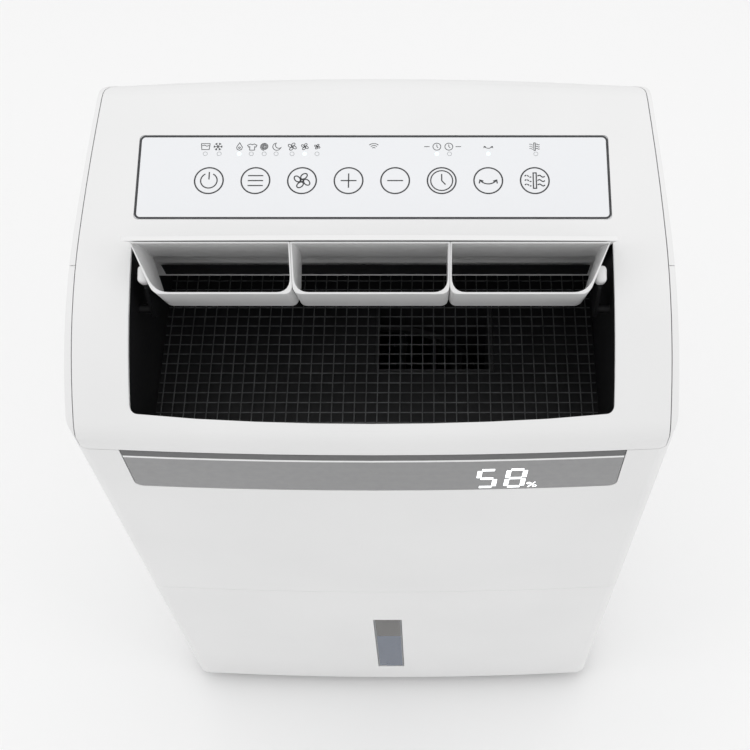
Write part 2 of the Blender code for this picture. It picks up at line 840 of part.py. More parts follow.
def make_flap_louvre():
    """The vane under the flap, its four upright dividers and the stops at its ends."""
    vane = vane_sheet("flap_louvre")
    thick = DIVIDER_THICKNESS / 2
    for x in (-DIVIDER_X, DIVIDER_X):
        join(vane, divider(f"divider {x}", x - thick, x - thick, 2 * thick))
    for side in (-1, 1):
        top = side * DIVIDER_HALF - thick
        foot = side * VANE_HALF - thick
        join(vane, divider(f"end divider {side}", top, foot, 2 * thick))
        corners = [chord_point(BLOCK_START, BLOCK_TOP), chord_point(BLOCK_END, BLOCK_TOP),
                   chord_point(BLOCK_END, BLOCK_FOOT), chord_point(BLOCK_START, BLOCK_FOOT)]
        block = [(side * BLOCK_X, point.y, point.z) for point in corners]
        join(vane, outline_solid(f"stop block {side}", block, (side * BLOCK_WIDTH, 0, 0)))
    keep_inside(vane, body_form("under the flap plate", FLAP_THICKNESS + TOUCH, FRONT_EDGE - 0.08))
    open_flap(settle(vane, white_plastic()))


def pivot_point(x):
    return FLAP_PIVOT + Vector((x, 0, 0))


def vane_sheet(name):
    corners = [chord_point(VANE_START, VANE_DEPTH), chord_point(VANE_END, VANE_DEPTH),
               chord_point(VANE_END, VANE_DEPTH + VANE_THICKNESS),
               chord_point(VANE_START, VANE_DEPTH + VANE_THICKNESS)]
    points = [(-VANE_HALF, point.y, point.z) for point in corners]
    return outline_solid(name, points, (2 * VANE_HALF, 0, 0))


def divider(name, top_x, foot_x, thickness):
    """An upright from the flap's underside to the vane, leaning when its foot is further in."""
    foot = VANE_DEPTH + VANE_THICKNESS / 2
    above = -0.012
    front = VANE_START + 0.0007
    back = VANE_END - 0.0007
    corners = [(0.001, above), (back, above), (back, foot), (front, foot), (0.004, 0.006)]
    bm = bmesh.new()
    rings = []
    for shift in (0.0, thickness):
        ring = []
        for along, below in corners:
            share = max(below, 0.0) / foot
            x = top_x + (foot_x - top_x) * share + shift
            ring.append(bm.verts.new(chord_point(along, below, x)))
        rings.append(ring)
        bm.faces.new(ring)
    count = len(corners)
    for i in range(count):
        bm.faces.new((rings[0][i], rings[0][(i + 1) % count], rings[1][(i + 1) % count],
                      rings[1][i]))
    bmesh.ops.triangulate(bm, faces=bm.faces)
    return from_bmesh(name, bm)


def make_flap_pins():
    """Two arms behind the louvre's stop blocks, each with its pin through the duct's wall."""
    outer = DUCT_HALF + THIN_WALL + 0.004
    for name, side in (("flap_pin_left", -1), ("flap_drive_shaft", 1)):
        root = BLOCK_END + TOUCH
        corners = [chord_point(root, BLOCK_TOP + 0.001),
                   chord_point(PIVOT_ALONG + 0.005, PIVOT_BELOW - 0.006),
                   chord_point(PIVOT_ALONG + 0.005, PIVOT_BELOW + 0.005),
                   chord_point(PIVOT_ALONG - 0.004, PIVOT_BELOW + 0.005),
                   chord_point(root, BLOCK_FOOT - 0.001)]
        points = [(side * ARM_X, point.y, point.z) for point in corners]
        arm = outline_solid(name, points, (side * ARM_THICKNESS, 0, 0))
        start = pivot_point(side * (ARM_X + 0.001))
        join(arm, cylinder(f"pin {side}", PIN_RADIUS, start, pivot_point(side * outer), sides=24))
        open_flap(settle(arm, black_plastic()))
    start = outer + TOUCH
    cylinder("flap_motor", 0.011, pivot_point(start), pivot_point(start + 0.016), steel())


# ---------------------------------------------------------------- boards

def make_boards():
    start = FLAP_PIVOT.y + POCKET_BEHIND_PIVOT + 0.006
    middle = (start + FRONT_Y + DUCT_BACK) / 2
    board = rounded_plate("control_board", 0.280, 0.030, 0.002, -0.0085, -0.0069, circuit_board())
    board.matrix_world = (Matrix.Translation((0, middle, plane_height(middle)))
                          @ Matrix.Rotation(TOP_SLOPE, 4, "X"))
    left = DISPLAY_X - DISPLAY_WIDTH / 2
    front = FRONT_Y + bow(DISPLAY_X + DISPLAY_WIDTH / 2, FRONT_Y) + TRIM_THICKNESS + SEAM
    top = FRONT_EDGE - 0.008
    box("display_board", (left, left + DISPLAY_WIDTH), (front, front + 0.0016),
        (top - 0.040, top), circuit_board())


# ---------------------------------------------------------------- fan

def scroll_outline(gap):
    """A spiral that opens out round the fan, with a neck that leads straight up."""
    start = IMPELLER_RADIUS + SCROLL_GAP + gap
    points = []
    for step in range(37):
        turn = step / 36
        angle = math.radians(20 - 285 * turn)
        radius = start + SCROLL_GROWTH * turn
        points.append((radius * math.cos(angle), radius * math.sin(angle)))
    return points


def scroll_solid(name, gap, front, back, top):
    points = [(x, front, FAN_Z + z) for x, z in scroll_outline(gap)]
    solid = outline_solid(name, points, (0, back - front, 0))
    reach = IMPELLER_RADIUS + SCROLL_GAP + gap
    neck = box(name + " neck", (-gap, reach - 0.002), (front, back), (FAN_Z + 0.01, top))
    join(solid, neck)
    return solid


def scroll_neck(name, clearance, top):
    """The scroll's neck, where it passes through the duct's floor."""
    reach = IMPELLER_RADIUS + SCROLL_GAP + THIN_WALL - 0.002 + clearance
    return box(name, (-THIN_WALL - clearance, reach), (FAN_Y - clearance, FAN_BACK_Y + clearance),
               (FAN_Z + 0.02, top))


def make_fan():
    top = DUCT_FLOOR + THIN_WALL
    plate = FAN_BACK_Y - THIN_WALL - TOUCH
    scroll = scroll_solid("fan_scroll", THIN_WALL, FAN_Y, plate, top)
    hollow = scroll_solid("scroll hollow", 0.0, FAN_Y + THIN_WALL, plate + 0.02, top + 0.02)
    cut(scroll, hollow)
    axis = Vector((0, 1, 0))
    centre = Vector((0, FAN_Y, FAN_Z))
    cut(scroll, cylinder("shaft hole", SHAFT_RADIUS + 0.002, centre - 0.02 * axis,
                         centre + 0.02 * axis))
    settle(scroll, grey_plastic())
    cover = scroll_solid("scroll_cover", THIN_WALL, plate + TOUCH, FAN_BACK_Y, top)
    cut(cover, cylinder("fan inlet", INLET_RADIUS, centre, centre + 0.2 * axis, sides=40))
    settle(cover, grey_plastic())
    make_impeller(centre)
    back_end = centre.y + THIN_WALL + 0.008
    start = centre.y - 0.004
    shaft = cylinder("fan_shaft", SHAFT_RADIUS, (0, start, FAN_Z), (0, back_end + 0.022, FAN_Z),
                     steel())
    set_origin(shaft, centre)
    motor_end = start - TOUCH
    cylinder("fan_motor", MOTOR_RADIUS, (0, motor_end - MOTOR_LENGTH, FAN_Z), (0, motor_end, FAN_Z),
             steel(), sides=40)


def make_impeller(centre):
    """The fan wheel: a disc, a ring and the blades between them, round a hub."""
    front = centre.y + THIN_WALL + 0.004
    back = FAN_BACK_Y - THIN_WALL - 0.006
    wheel = cylinder("fan_impeller", IMPELLER_RADIUS, (0, front, FAN_Z), (0, front + 0.003, FAN_Z),
                     sides=40)
    ring = cylinder("fan ring", IMPELLER_RADIUS, (0, back - 0.004, FAN_Z), (0, back, FAN_Z),
                    sides=40)
    inside = cylinder("fan ring inside", IMPELLER_RADIUS - 0.004, (0, back - 0.02, FAN_Z),
                      (0, back + 0.02, FAN_Z), sides=40)
    cut(ring, inside)
    join(wheel, settle(ring))
    join(wheel, cylinder("fan hub", 0.011, (0, front, FAN_Z), (0, front + 0.020, FAN_Z)))
    for blade in range(BLADES):
        angle = 2 * math.pi * (blade + 0.5) / BLADES
        block = box(f"blade {blade}", (IMPELLER_RADIUS - 0.017, IMPELLER_RADIUS - 0.001),
                    (front + 0.001, back - 0.001), (-0.0006, 0.0006))
        block.matrix_world = (Matrix.Translation((0, 0, FAN_Z)) @ Matrix.Rotation(angle, 4, "Y")
                              @ Matrix.Translation((IMPELLER_RADIUS, 0, 0))
                              @ Matrix.Rotation(math.radians(-25), 4, "Y")
                              @ Matrix.Translation((-IMPELLER_RADIUS, 0, 0)))
        join(wheel, block)
    cut(wheel, cylinder("hub bore", SHAFT_RADIUS + TOUCH, (0, front - 0.01, FAN_Z),
                        (0, front + 0.05, FAN_Z)))
    set_origin(settle(wheel, grey_plastic()), centre)


# ---------------------------------------------------------------- refrigerating circuit

def make_coil(name, back, surface):
    """A finned block, with its fins stood as deep grooves down both faces."""
    half = COIL_WIDTH / 2
    y = FRONT_Y + back
    coil = box(name, (-half, half), (y, y + COIL_THICKNESS), (COIL_Z, COIL_Z + COIL_HEIGHT))
    grooves = 10
    pitch = COIL_WIDTH / grooves
    for groove in range(grooves):
        x = -half + (groove + 0.5) * pitch
        for face, edge in (("front", y), ("back", y + COIL_THICKNESS)):
            cut(coil, box(f"{name} {face} groove {groove}", (x - pitch / 5, x + pitch / 5),
                          (edge - 0.004, edge + 0.004), (COIL_Z + 0.004, COIL_Z + COIL_HEIGHT - 0.004)))
    settle(coil, surface)


def make_circuit():
    make_coil("evaporator", EVAPORATOR_BACK, aluminium())
    make_coil("condenser", CONDENSER_BACK, aluminium())
    y = FRONT_Y + COMPRESSOR_BACK
    low = PAN_TOP + 0.008
    top = low + COMPRESSOR_HEIGHT
    radius = COMPRESSOR_RADIUS
    dome = 0.018
    profile = [(0, top), (radius * 0.55, top - dome * 0.12), (radius * 0.85, top - dome * 0.45),
               (radius, top - dome), (radius, low + dome), (radius * 0.85, low + dome * 0.4),
               (radius * 0.6, low), (0, low)]
    turned("compressor", profile, Matrix.Translation((0, y, 0)), black_enamel())
    mount = cylinder("compressor_mount", radius * 0.56, (0, y, PAN_TOP + TOUCH),
                     (0, y, low - TOUCH))
    cut(mount, cylinder("mount hole", radius * 0.35, (0, y, PAN_TOP - 0.01), (0, y, low + 0.01)))
    settle(mount, rubber())
    tank_x = radius + ACCUMULATOR_RADIUS + 0.008
    small = ACCUMULATOR_RADIUS
    base = low + 0.045
    profile = [(0, base + 0.090), (small * 0.6, base + 0.088), (small, base + 0.080),
               (small, base + 0.010), (small * 0.6, base + 0.002), (0, base)]
    turned("accumulator", profile, Matrix.Translation((tank_x, y, 0)), black_enamel(), steps=24)
    make_pipes(y, top, tank_x, base)


def make_pipes(y, compressor_top, tank_x, tank_low):
    rise = COIL_Z + COIL_HEIGHT * 0.8
    side = COIL_WIDTH / 2 + 0.014
    coil_end = COIL_WIDTH / 2 + TOUCH
    evaporator_y = FRONT_Y + EVAPORATOR_BACK + COIL_THICKNESS / 2
    condenser_y = FRONT_Y + CONDENSER_BACK + COIL_THICKNESS / 2
    start = (tank_x, y, tank_low + 0.090 + TOUCH)
    pipe("suction_pipe", [start, (tank_x, y, start[2] + 0.02), (tank_x, y, PARTITION_Z - 0.025),
                          (side, evaporator_y, PARTITION_Z - 0.020),
                          (side, evaporator_y, PARTITION_Z + 0.03), (side, evaporator_y, rise),
                          (coil_end, evaporator_y, rise)], PIPE_RADIUS, copper())
    low = rise - 0.040
    side += 0.012
    pipe("discharge_pipe", [(0, y, compressor_top + TOUCH), (0, y, compressor_top + 0.02),
                            (0.03, y - 0.02, PARTITION_Z - 0.010),
                            (side, condenser_y, PARTITION_Z - 0.012),
                            (side, condenser_y, PARTITION_Z + 0.03), (side, condenser_y, low),
                            (coil_end, condenser_y, low)], PIPE_RADIUS * 0.8, copper())
    left = -COIL_WIDTH / 2 - TOUCH
    out = -COIL_WIDTH / 2 - 0.012
    pipe("capillary_tube", [(left, condenser_y, COIL_Z + 0.02), (out, condenser_y, COIL_Z + 0.02),
                            (out, condenser_y, COIL_Z + 0.09), (out, evaporator_y, COIL_Z + 0.09),
                            (out, evaporator_y, COIL_Z + 0.03), (left, evaporator_y, COIL_Z + 0.03)],
         0.0015, copper())


def make_partition():
    half = side_x(FRONT_Y + 0.215) - WALL - 0.004
    partition = box("partition", (-half, half), (FRONT_Y + 0.006, FRONT_Y + 0.220),
                    (PARTITION_Z, PARTITION_Z + WALL))
    side = COIL_WIDTH / 2 + 0.014
    cut(partition, box("pipe slot", (side - 0.008, side + 0.022),
                       (FRONT_Y + CONDENSER_BACK, FRONT_Y + 0.24),
                       (PARTITION_Z - 0.02, PARTITION_Z + 0.02)))
    spout = spout_place()
    cut(partition, cylinder("spout hole", 0.009, spout - Vector((0, 0, 0.05)),
                            spout + Vector((0, 0, 0.05))))
    settle(partition, grey_plastic())


def spout_place():
    """Over the funnel in the tank's lid."""
    return Vector((0, FRONT_Y + TANK_BACK - 0.022, PARTITION_Z))


def make_drip_tray():
    """A shallow tray under both coils, with a channel that leads to a spout over the tank."""
    half = COIL_WIDTH / 2 + 0.004
    front = FRONT_Y + CONDENSER_BACK - 0.004
    back = FRONT_Y + EVAPORATOR_BACK + COIL_THICKNESS + 0.004
    spout = spout_place()
    tray = box("drip_tray", (-half, half), (front, back), (TRAY_Z, COIL_Z + 0.004))
    channel = box("tray channel", (-0.014, 0.014), (spout.y - 0.014, front + 0.002),
                  (TRAY_Z, COIL_Z + 0.004))
    tube = cylinder("tray spout", 0.0075, spout - Vector((0, 0, 0.014)),
                    spout + Vector((0, 0, 0.005)), sides=24)
    join(tray, channel, tube)
    floor = TRAY_Z + 0.0015
    cut(tray, box("tray hollow", (-half + 0.0018, half - 0.0018), (front + 0.0018, back - 0.0018),
                  (floor, COIL_Z + 0.02)))
    cut(tray, box("channel hollow", (-0.0122, 0.0122), (spout.y - 0.0122, front + 0.01),
                  (floor, COIL_Z + 0.02)))
    cut(tray, cylinder("spout bore", 0.0055, spout - Vector((0, 0, 0.03)),
                       spout + Vector((0, 0, 0.02)), sides=24))
    settle(tray, grey_plastic())


def make_electrics():
    y = FRONT_Y + 0.130
    x = -0.170
    box("power_box", (x, x + 0.075), (y, y + 0.080), (PAN_TOP + 0.004, PAN_TOP + 0.095),
        grey_plastic(), 0.003)
    low = PAN_TOP + 0.096
    profile = [(0, low + 0.065), (0.014, low + 0.065), (0.016, low + 0.063), (0.016, low + 0.002),
               (0.014, low), (0, low)]
    turned("run_capacitor", profile, Matrix.Translation((x + 0.035, y + 0.040, 0)), aluminium(), 24)
    sensor_y = FRONT_Y + TANK_BACK + 0.004
    box("tank_switch", (0.090, 0.120), (sensor_y, sensor_y + 0.010), (0.150, 0.175),
        black_plastic(), 0.001)


# ---------------------------------------------------------------- base and castors

def make_base_pan():
    inset = WALL + SEAM
    pan = body_form("base_pan", inset, UNDERSIDE)
    keep_inside(pan, box("pan region", (-0.3, 0.3), (-0.3, 0.3), (UNDERSIDE - 0.05, PAN_TOP)))
    hollow = body_form("pan hollow", inset + WALL, UNDERSIDE - 0.03)
    keep_inside(hollow, box("pan hollow region", (-0.3, 0.3), (-0.3, 0.3),
                            (UNDERSIDE - 0.1, PAN_TOP - WALL)))
    cut(pan, settle(hollow))
    for name, place in castor_places():
        wall = WELL_RADIUS + 0.0025
        join(pan, cylinder(f"well {name}", wall, (*place, UNDERSIDE), (*place, PAN_TOP - 0.001)))
        cut(pan, cylinder(f"well hollow {name}", WELL_RADIUS, (*place, UNDERSIDE - 0.02),
                          (*place, PAN_TOP - WALL)))
        cut(pan, cylinder(f"stem hole {name}", STEM_RADIUS + TOUCH, (*place, 0),
                          (*place, PAN_TOP + 0.02), sides=24))
    settle(pan, grey_plastic())


def castor_places():
    for side, x in (("left", -CASTOR_X), ("right", CASTOR_X)):
        for end, y in (("front", CASTOR_FRONT), ("back", CASTOR_BACK)):
            yield f"{end}_{side}", (x, FRONT_Y + y)


def make_castors():
    """Wheels have flat facets, so that one lies flat on the floor."""
    axle_z = WHEEL_RADIUS * math.cos(math.pi / WHEEL_SIDES)
    arm_x = WHEEL_WIDTH / 2 + 0.0005
    disc_z = PAN_TOP - WALL - 0.004
    for name, (x, y) in castor_places():
        hub = Vector((x, y + CASTOR_TRAIL, axle_z))
        fork = cylinder(f"castor_fork_{name}", arm_x + FORK_ARM + 0.003, (x, y, disc_z - 0.0025),
                        (x, y, disc_z), sides=20)
        join(fork, cylinder(f"stem {name}", STEM_RADIUS, (x, y, disc_z - 0.001),
                            (x, y, PAN_TOP - 0.0002), sides=16))
        for side in (-1, 1):
            edge = sorted((side * arm_x, side * (arm_x + FORK_ARM)))
            span = (x + edge[0], x + edge[1])
            arm = [(y - 0.006, disc_z - 0.001), (hub.y - 0.0045, axle_z - 0.004),
                   (hub.y + 0.0045, axle_z - 0.004), (y + 0.008, disc_z - 0.001)]
            join(fork, outline_solid(f"arm {name} {side}", [(span[0], py, pz) for py, pz in arm],
                                     (FORK_ARM, 0, 0)))
        across = Vector((0.03, 0, 0))
        cut(fork, cylinder(f"axle hole {name}", AXLE_RADIUS + TOUCH, hub - across, hub + across,
                           sides=12))
        set_origin(settle(fork, grey_plastic()), (x, y, disc_z))
        half = Vector((WHEEL_WIDTH / 2, 0, 0))
        wheel = cylinder(f"castor_wheel_{name}", WHEEL_RADIUS, hub - half, hub + half,
                         sides=WHEEL_SIDES, turn=math.pi / WHEEL_SIDES)
        cut(wheel, cylinder(f"wheel bore {name}", AXLE_RADIUS + TOUCH, hub - across, hub + across,
                            sides=16))
        set_origin(settle(wheel, black_plastic()), hub)
        half = Vector((arm_x + FORK_ARM, 0, 0))
        set_origin(cylinder(f"castor_axle_{name}", AXLE_RADIUS, hub - half, hub + half, steel(),
                            sides=16), hub)


# ---------------------------------------------------------------- water tank

def make_tank():
    half = TANK_WIDTH / 2
    front = FRONT_Y + TANK_FRONT
    back = FRONT_Y + TANK_BACK
    bucket = box("tank_bucket", (-half, half), (front, back), (TANK_LOW, TANK_TOP), bevel=0.010)
    bucket = baked(bucket)
    keep_inside(bucket, box("bucket top", (-1, 1), (-1, 1), (0, TANK_TOP - 0.011)))
    hollow = baked(box("bucket hollow", (-half + TANK_WALL, half - TANK_WALL),
                       (front + TANK_WALL, back - TANK_WALL), (TANK_LOW + TANK_WALL, TANK_TOP + 0.02),
                       bevel=0.008))
    cut(bucket, hollow)
    settle(bucket, natural_plastic())
    rim = TANK_TOP - 0.011
    lid = box("tank_lid", (-half, half), (front, back), (rim + TOUCH, rim + TOUCH + LID_THICKNESS),
              bevel=0.001)
    spout = spout_place()
    cut(lid, cylinder("funnel", FUNNEL_RADIUS, (spout.x, spout.y, rim - 0.02),
                      (spout.x, spout.y, rim + 0.02)))
    pivot = handle_pivot(rim + TOUCH + LID_THICKNESS, back)
    for side in (-1, 1):
        join(lid, *handle_lug(side, pivot))
    settle(lid, grey_plastic())
    window = box("level_window", (-WINDOW_WIDTH / 2, WINDOW_WIDTH / 2),
                 (FRONT_Y - FRONT_BOW, front - SEAM), (WINDOW_LOW, WINDOW_HIGH))
    keep_inside(window, body_form("window face", 0.0008, 0.0))
    settle(window, clear_smoke())
    make_handle(pivot)
    make_float(back, rim)


def handle_pivot(lid_top, back):
    return Vector((0, back - HANDLE_LENGTH - HANDLE_SETBACK, lid_top + HANDLE_ROD + HANDLE_LIFT))


def handle_lug(side, pivot):
    """An ear that stands on the lid beside the handle's arm, and its pin."""
    x = sorted((side * (HANDLE_HALF + TOUCH), side * (HANDLE_HALF + 0.005)))
    low = pivot.z - HANDLE_ROD - 0.002
    ear = box(f"handle lug {side}", x, (pivot.y - 0.005, pivot.y + 0.005), (low, pivot.z + 0.005))
    pin = cylinder(f"handle pin {side}", HANDLE_PIN, (side * (HANDLE_HALF - 0.0055), pivot.y, pivot.z),
                   (side * (HANDLE_HALF + 0.002), pivot.y, pivot.z), sides=20)
    return ear, pin


def make_handle(pivot):
    """A bail that lies on the lid, turns on the lid's two pins and swings up to carry the tank."""
    half = HANDLE_HALF
    rod = HANDLE_ROD
    grip = pivot.y + HANDLE_LENGTH
    bail = box("tank_handle", (-half, half), (grip - rod, grip + rod), (pivot.z - rod, pivot.z + rod))
    for side in (-1, 1):
        x = sorted((side * half, side * (half - 2 * rod)))
        join(bail, box(f"bail arm {side}", x, (pivot.y, pivot.y + HANDLE_LENGTH + rod),
                       (pivot.z - rod, pivot.z + rod)))
        join(bail, cylinder(f"bail eye {side}", HANDLE_EYE,
                            (side * (half - TOUCH), pivot.y, pivot.z),
                            (side * (half - 2 * rod + TOUCH), pivot.y, pivot.z), sides=24))
        cut(bail, cylinder(f"bail bore {side}", HANDLE_PIN + TOUCH,
                           (side * (half - 0.02), pivot.y, pivot.z),
                           (side * (half + 0.02), pivot.y, pivot.z), sides=20))
    set_origin(settle(bail, grey_plastic()), pivot)


def make_float(back, rim):
    """A closed foam block on an arm, hinged inside the tank's back wall."""
    x = 0.105
    pivot = Vector((x, back - TANK_WALL - 0.008, rim - 0.045))
    body = box("tank_float", (x - 0.016, x + 0.016), (pivot.y - FLOAT_ARM, pivot.y - 0.012),
               (pivot.z - 0.012, pivot.z + 0.012), bevel=0.003)
    body = baked(body)
    join(body, box("float arm", (x - 0.003, x + 0.003), (pivot.y - 0.014, pivot.y + 0.003),
                   (pivot.z - 0.003, pivot.z + 0.003)))
    set_origin(settle(body, natural_plastic()), pivot)


# ---------------------------------------------------------------- back of the body

def make_rear_cover():
    half = INLET_WIDTH / 2 + COVER_MARGIN
    low = INLET_LOW - COVER_MARGIN
    high = INLET_HIGH + COVER_MARGIN
    cover = baked(box("rear_cover", (-half, half), (BACK_Y - 0.03, COVER_Y), (low, high), bevel=0.006))
    inner = box("cover hollow", (-half + COVER_WALL, half - COVER_WALL),
                (BACK_Y - 0.05, COVER_Y - COVER_WALL), (low + COVER_WALL, high - COVER_WALL))
    cut(cover, inner)
    cut(cover, body_form("cover seat", -SEAM, 0.1))
    slots = int((high - low - 0.03) / LOUVRE_PITCH)
    start = (low + high) / 2 - (slots - 1) * LOUVRE_PITCH / 2
    width = half - 0.014
    for slot in range(slots):
        z = start + slot * LOUVRE_PITCH
        for side in (-1, 1):
            x = sorted((side * 0.004, side * width))
            cut(cover, box(f"louvre {slot} {side}", x, (COVER_Y - 0.01, COVER_Y + 0.01),
                           (z - LOUVRE_SLOT / 2, z + LOUVRE_SLOT / 2)))
    settle(cover, white_plastic())
    make_filters()


def make_filters():
    half = INLET_WIDTH / 2 - 0.004
    low = INLET_LOW + 0.004
    high = INLET_HIGH - 0.004
    behind = COVER_Y - COVER_WALL - 0.002
    frame = box("pre_filter", (-half, half), (behind - 0.005, behind), (low, high))
    columns, rows, bar = 6, 4, 0.004
    step_x = (2 * half - bar) / columns
    step_z = (high - low - bar) / rows
    for column in range(columns):
        for row in range(rows):
            x = -half + bar + column * step_x
            z = low + bar + row * step_z
            cut(frame, box(f"filter pane {column} {row}", (x, x + step_x - bar),
                           (behind - 0.0042, behind + 0.01), (z, z + step_z - bar)))
    settle(frame, filter_fleece())
    cassette_back = behind - 0.005 - SLACK
    box("filter_cassette", (-half, half), (cassette_back - 0.012, cassette_back), (low, high),
        filter_fleece(), 0.001)


def make_grips():
    for name, side in (("grip_left", -1), ("grip_right", 1)):
        grip = grip_box(name, side, 0.0, 0.03)
        hollow = grip_box(f"{name} hollow", side, -THIN_WALL, 0.05)
        keep_inside(grip, body_form(f"{name} outside", 0.0, 0.3))
        cut(grip, hollow)
        settle(grip, white_plastic())


def make_back_fittings():
    """The cable gland, and the drain nozzle with its cap."""
    to_back = Matrix.Rotation(math.radians(-90), 4, "X")
    wall_y = BACK_Y + bow(abs(GLAND_X), BACK_Y)
    profile = [(0, 0.016), (0.0055, 0.016), (0.0070, 0.004), (0.0100, 0.003), (0.0100, TOUCH),
               (0.0072, TOUCH), (0.0072, -0.010), (0, -0.010)]
    turned("cord_gland", profile, Matrix.Translation((GLAND_X, wall_y + 0.0012, GLAND_Z)) @ to_back,
           rubber(), 24)
    radius = NOZZLE_RADIUS
    nozzle = cylinder("drain_nozzle", radius, (DRAIN_X, wall_y - 0.020, DRAIN_Z),
                      (DRAIN_X, wall_y + 0.013, DRAIN_Z), sides=24)
    cut(nozzle, cylinder("nozzle bore", radius - 0.0015, (DRAIN_X, wall_y - 0.05, DRAIN_Z),
                         (DRAIN_X, wall_y + 0.05, DRAIN_Z), sides=24))
    settle(nozzle, white_plastic())
    outer = radius + 0.003
    profile = [(0, 0.019), (outer - 0.001, 0.019), (outer, 0.018), (outer, 0.0025),
               (radius + TOUCH, 0.0025), (radius + TOUCH, 0.0165), (0, 0.0165)]
    cap = turned("drain_cap", profile, Matrix.Translation((DRAIN_X, wall_y, DRAIN_Z)) @ to_back,
                 grey_plastic(), 24)
    set_origin(cap, (DRAIN_X, wall_y + 0.010, DRAIN_Z))


def main():
    clear_scene()
    make_shells()
    make_duct()
    make_grille()
    make_flap_plate()
    make_flap_louvre()
    make_flap_pins()
    make_boards()
    make_fan()
    make_circuit()
    make_partition()
    make_drip_tray()
    make_electrics()
    make_base_pan()
    make_castors()
    make_tank()
    make_rear_cover()
    make_grips()
    make_back_fittings()


main()
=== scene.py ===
"""The looks of a household dehumidifier on castors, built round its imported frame."""

import json
import math

import bmesh
import bpy
from mathutils import Matrix, Vector


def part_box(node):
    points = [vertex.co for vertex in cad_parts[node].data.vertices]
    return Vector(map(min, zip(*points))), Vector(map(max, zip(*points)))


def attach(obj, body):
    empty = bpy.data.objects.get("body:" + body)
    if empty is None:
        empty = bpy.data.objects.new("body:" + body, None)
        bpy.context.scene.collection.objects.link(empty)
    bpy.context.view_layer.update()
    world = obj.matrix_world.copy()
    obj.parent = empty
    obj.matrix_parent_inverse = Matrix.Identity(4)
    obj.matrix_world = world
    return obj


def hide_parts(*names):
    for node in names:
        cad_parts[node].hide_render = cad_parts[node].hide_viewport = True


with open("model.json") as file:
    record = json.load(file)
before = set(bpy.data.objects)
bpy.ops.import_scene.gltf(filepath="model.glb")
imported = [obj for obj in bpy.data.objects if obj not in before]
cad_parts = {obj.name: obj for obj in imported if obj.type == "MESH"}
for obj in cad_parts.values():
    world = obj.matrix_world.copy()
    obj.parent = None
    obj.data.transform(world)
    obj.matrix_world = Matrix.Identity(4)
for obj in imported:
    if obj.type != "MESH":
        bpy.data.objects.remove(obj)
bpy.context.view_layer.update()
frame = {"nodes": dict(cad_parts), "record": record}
NODES = frame["nodes"]

# ---------------------------------------------------------------- the camera, the light and the floor

LENS = 58.3
LENS_SHIFT = -0.07
EYE = (0.0355, -0.4832, 1.2284)
EYE_TILT = math.radians(30)
WORLD_LIGHT = 0.86
FLOOR_HALF = 12.0
FLOOR_GREY = 0.93
# Each softbox: where it stands, what it faces, its two sizes and its power
SOFTBOXES = {"top softbox": ((0.0, 0.55, 2.3), (0, 0, 0.5), (2.2, 1.6), 6.5),
             "left softbox": ((-1.7, -0.5, 1.5), (0, 0, 0.35), (1.0, 1.6), 3.5),
             "right softbox": ((1.8, -0.7, 1.3), (0, 0, 0.3), (1.0, 1.6), 4)}

# ---------------------------------------------------------------- sizes shared with the frame

TOP_SLOPE = math.radians(12)
FRONT_BOW = 0.0055
BODY_HALF = 0.196
PANEL_THICKNESS = 0.0008
PANEL_LOW, PANEL_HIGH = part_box("control_panel")
TRIM_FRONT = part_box("display_trim")[0].y
GRILLE_LOW, GRILLE_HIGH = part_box("outlet_grille")
WINDOW_LOW, WINDOW_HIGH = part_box("level_window")
MOTOR_LOW, MOTOR_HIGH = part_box("flap_motor")
PIVOT = Vector((0, (MOTOR_LOW.y + MOTOR_HIGH.y) / 2, (MOTOR_LOW.z + MOTOR_HIGH.z) / 2))
PANEL_PLACE = Matrix.Translation((PANEL_LOW + PANEL_HIGH) / 2) @ Matrix.Rotation(TOP_SLOPE, 4, "X")

# Each print stands this far off the surface it is laid on
PROUD = 0.00006

# ---------------------------------------------------------------- finishes

# How far the hard edges of a node are rounded; the others keep theirs sharp
SOFT_EDGES = {"front_shell": 0.0005, "rear_shell": 0.0005, "top_cover": 0.0006, "tank_front": 0.0005,
              "flap_plate": 0.0004, "rear_cover": 0.0004, "grip_left": 0.0003, "grip_right": 0.0003,
              "level_window": 0.0002, "control_panel": 0.0002}
HARD_EDGE = math.radians(38)
# Nodes that are finished otherwise than their slot says; the fan's parts are made near black, painted
# shade for the inside of the duct
OTHER_FINISH = {"fan_scroll": "fan_painted_shade", "scroll_cover": "fan_painted_shade",
                "fan_impeller": "fan_painted_shade", "flap_pin_left": "black_plastic",
                "flap_drive_shaft": "black_plastic"}

# The heights at which the painted highlight on the trim's upper edge starts and ends, with painted shade
# for the upper chamfer above it, and the share of the window under water.
# The bands of colour are laid out over BAND_HEIGHT
TRIM_HIGHLIGHT_LOW = 0.5065
TRIM_HIGHLIGHT_HIGH = 0.5100
WATER_SHARE = 0.66
BAND_HEIGHT = 0.62
BAND_MOTTLING = 0.30

# ---------------------------------------------------------------- the panel's prints, in millimetres

BORDER_HALF_U = 154.3
BORDER_HALF_V = 29.65
BORDER_CORNER = 3.3
BORDER_LINE = 1.4
KEY_FIRST = -107.7
KEY_PITCH = 30.5
KEY_V = -2.8
KEY_RADIUS = 9.35
KEY_LINE = 0.95
KEY_SYMBOL_LINE = 0.80
SYMBOL_V = 22.1
SYMBOL_LINE = 0.45
LAMP_V = 16.8
LAMP_RING = 1.4
LAMP_LINE = 0.22
LAMP_DISC = 1.25
# Places of the lamps across the panel, unlit and lit
LAMPS = (-111.2, -102.0, -80.8, -72.3, -64.4, -53.9, -37.4, 50.0, 107.0)
LIT_LAMPS = (-88.8, -45.6, 41.7, 75.7)

# ---------------------------------------------------------------- the display and the level window

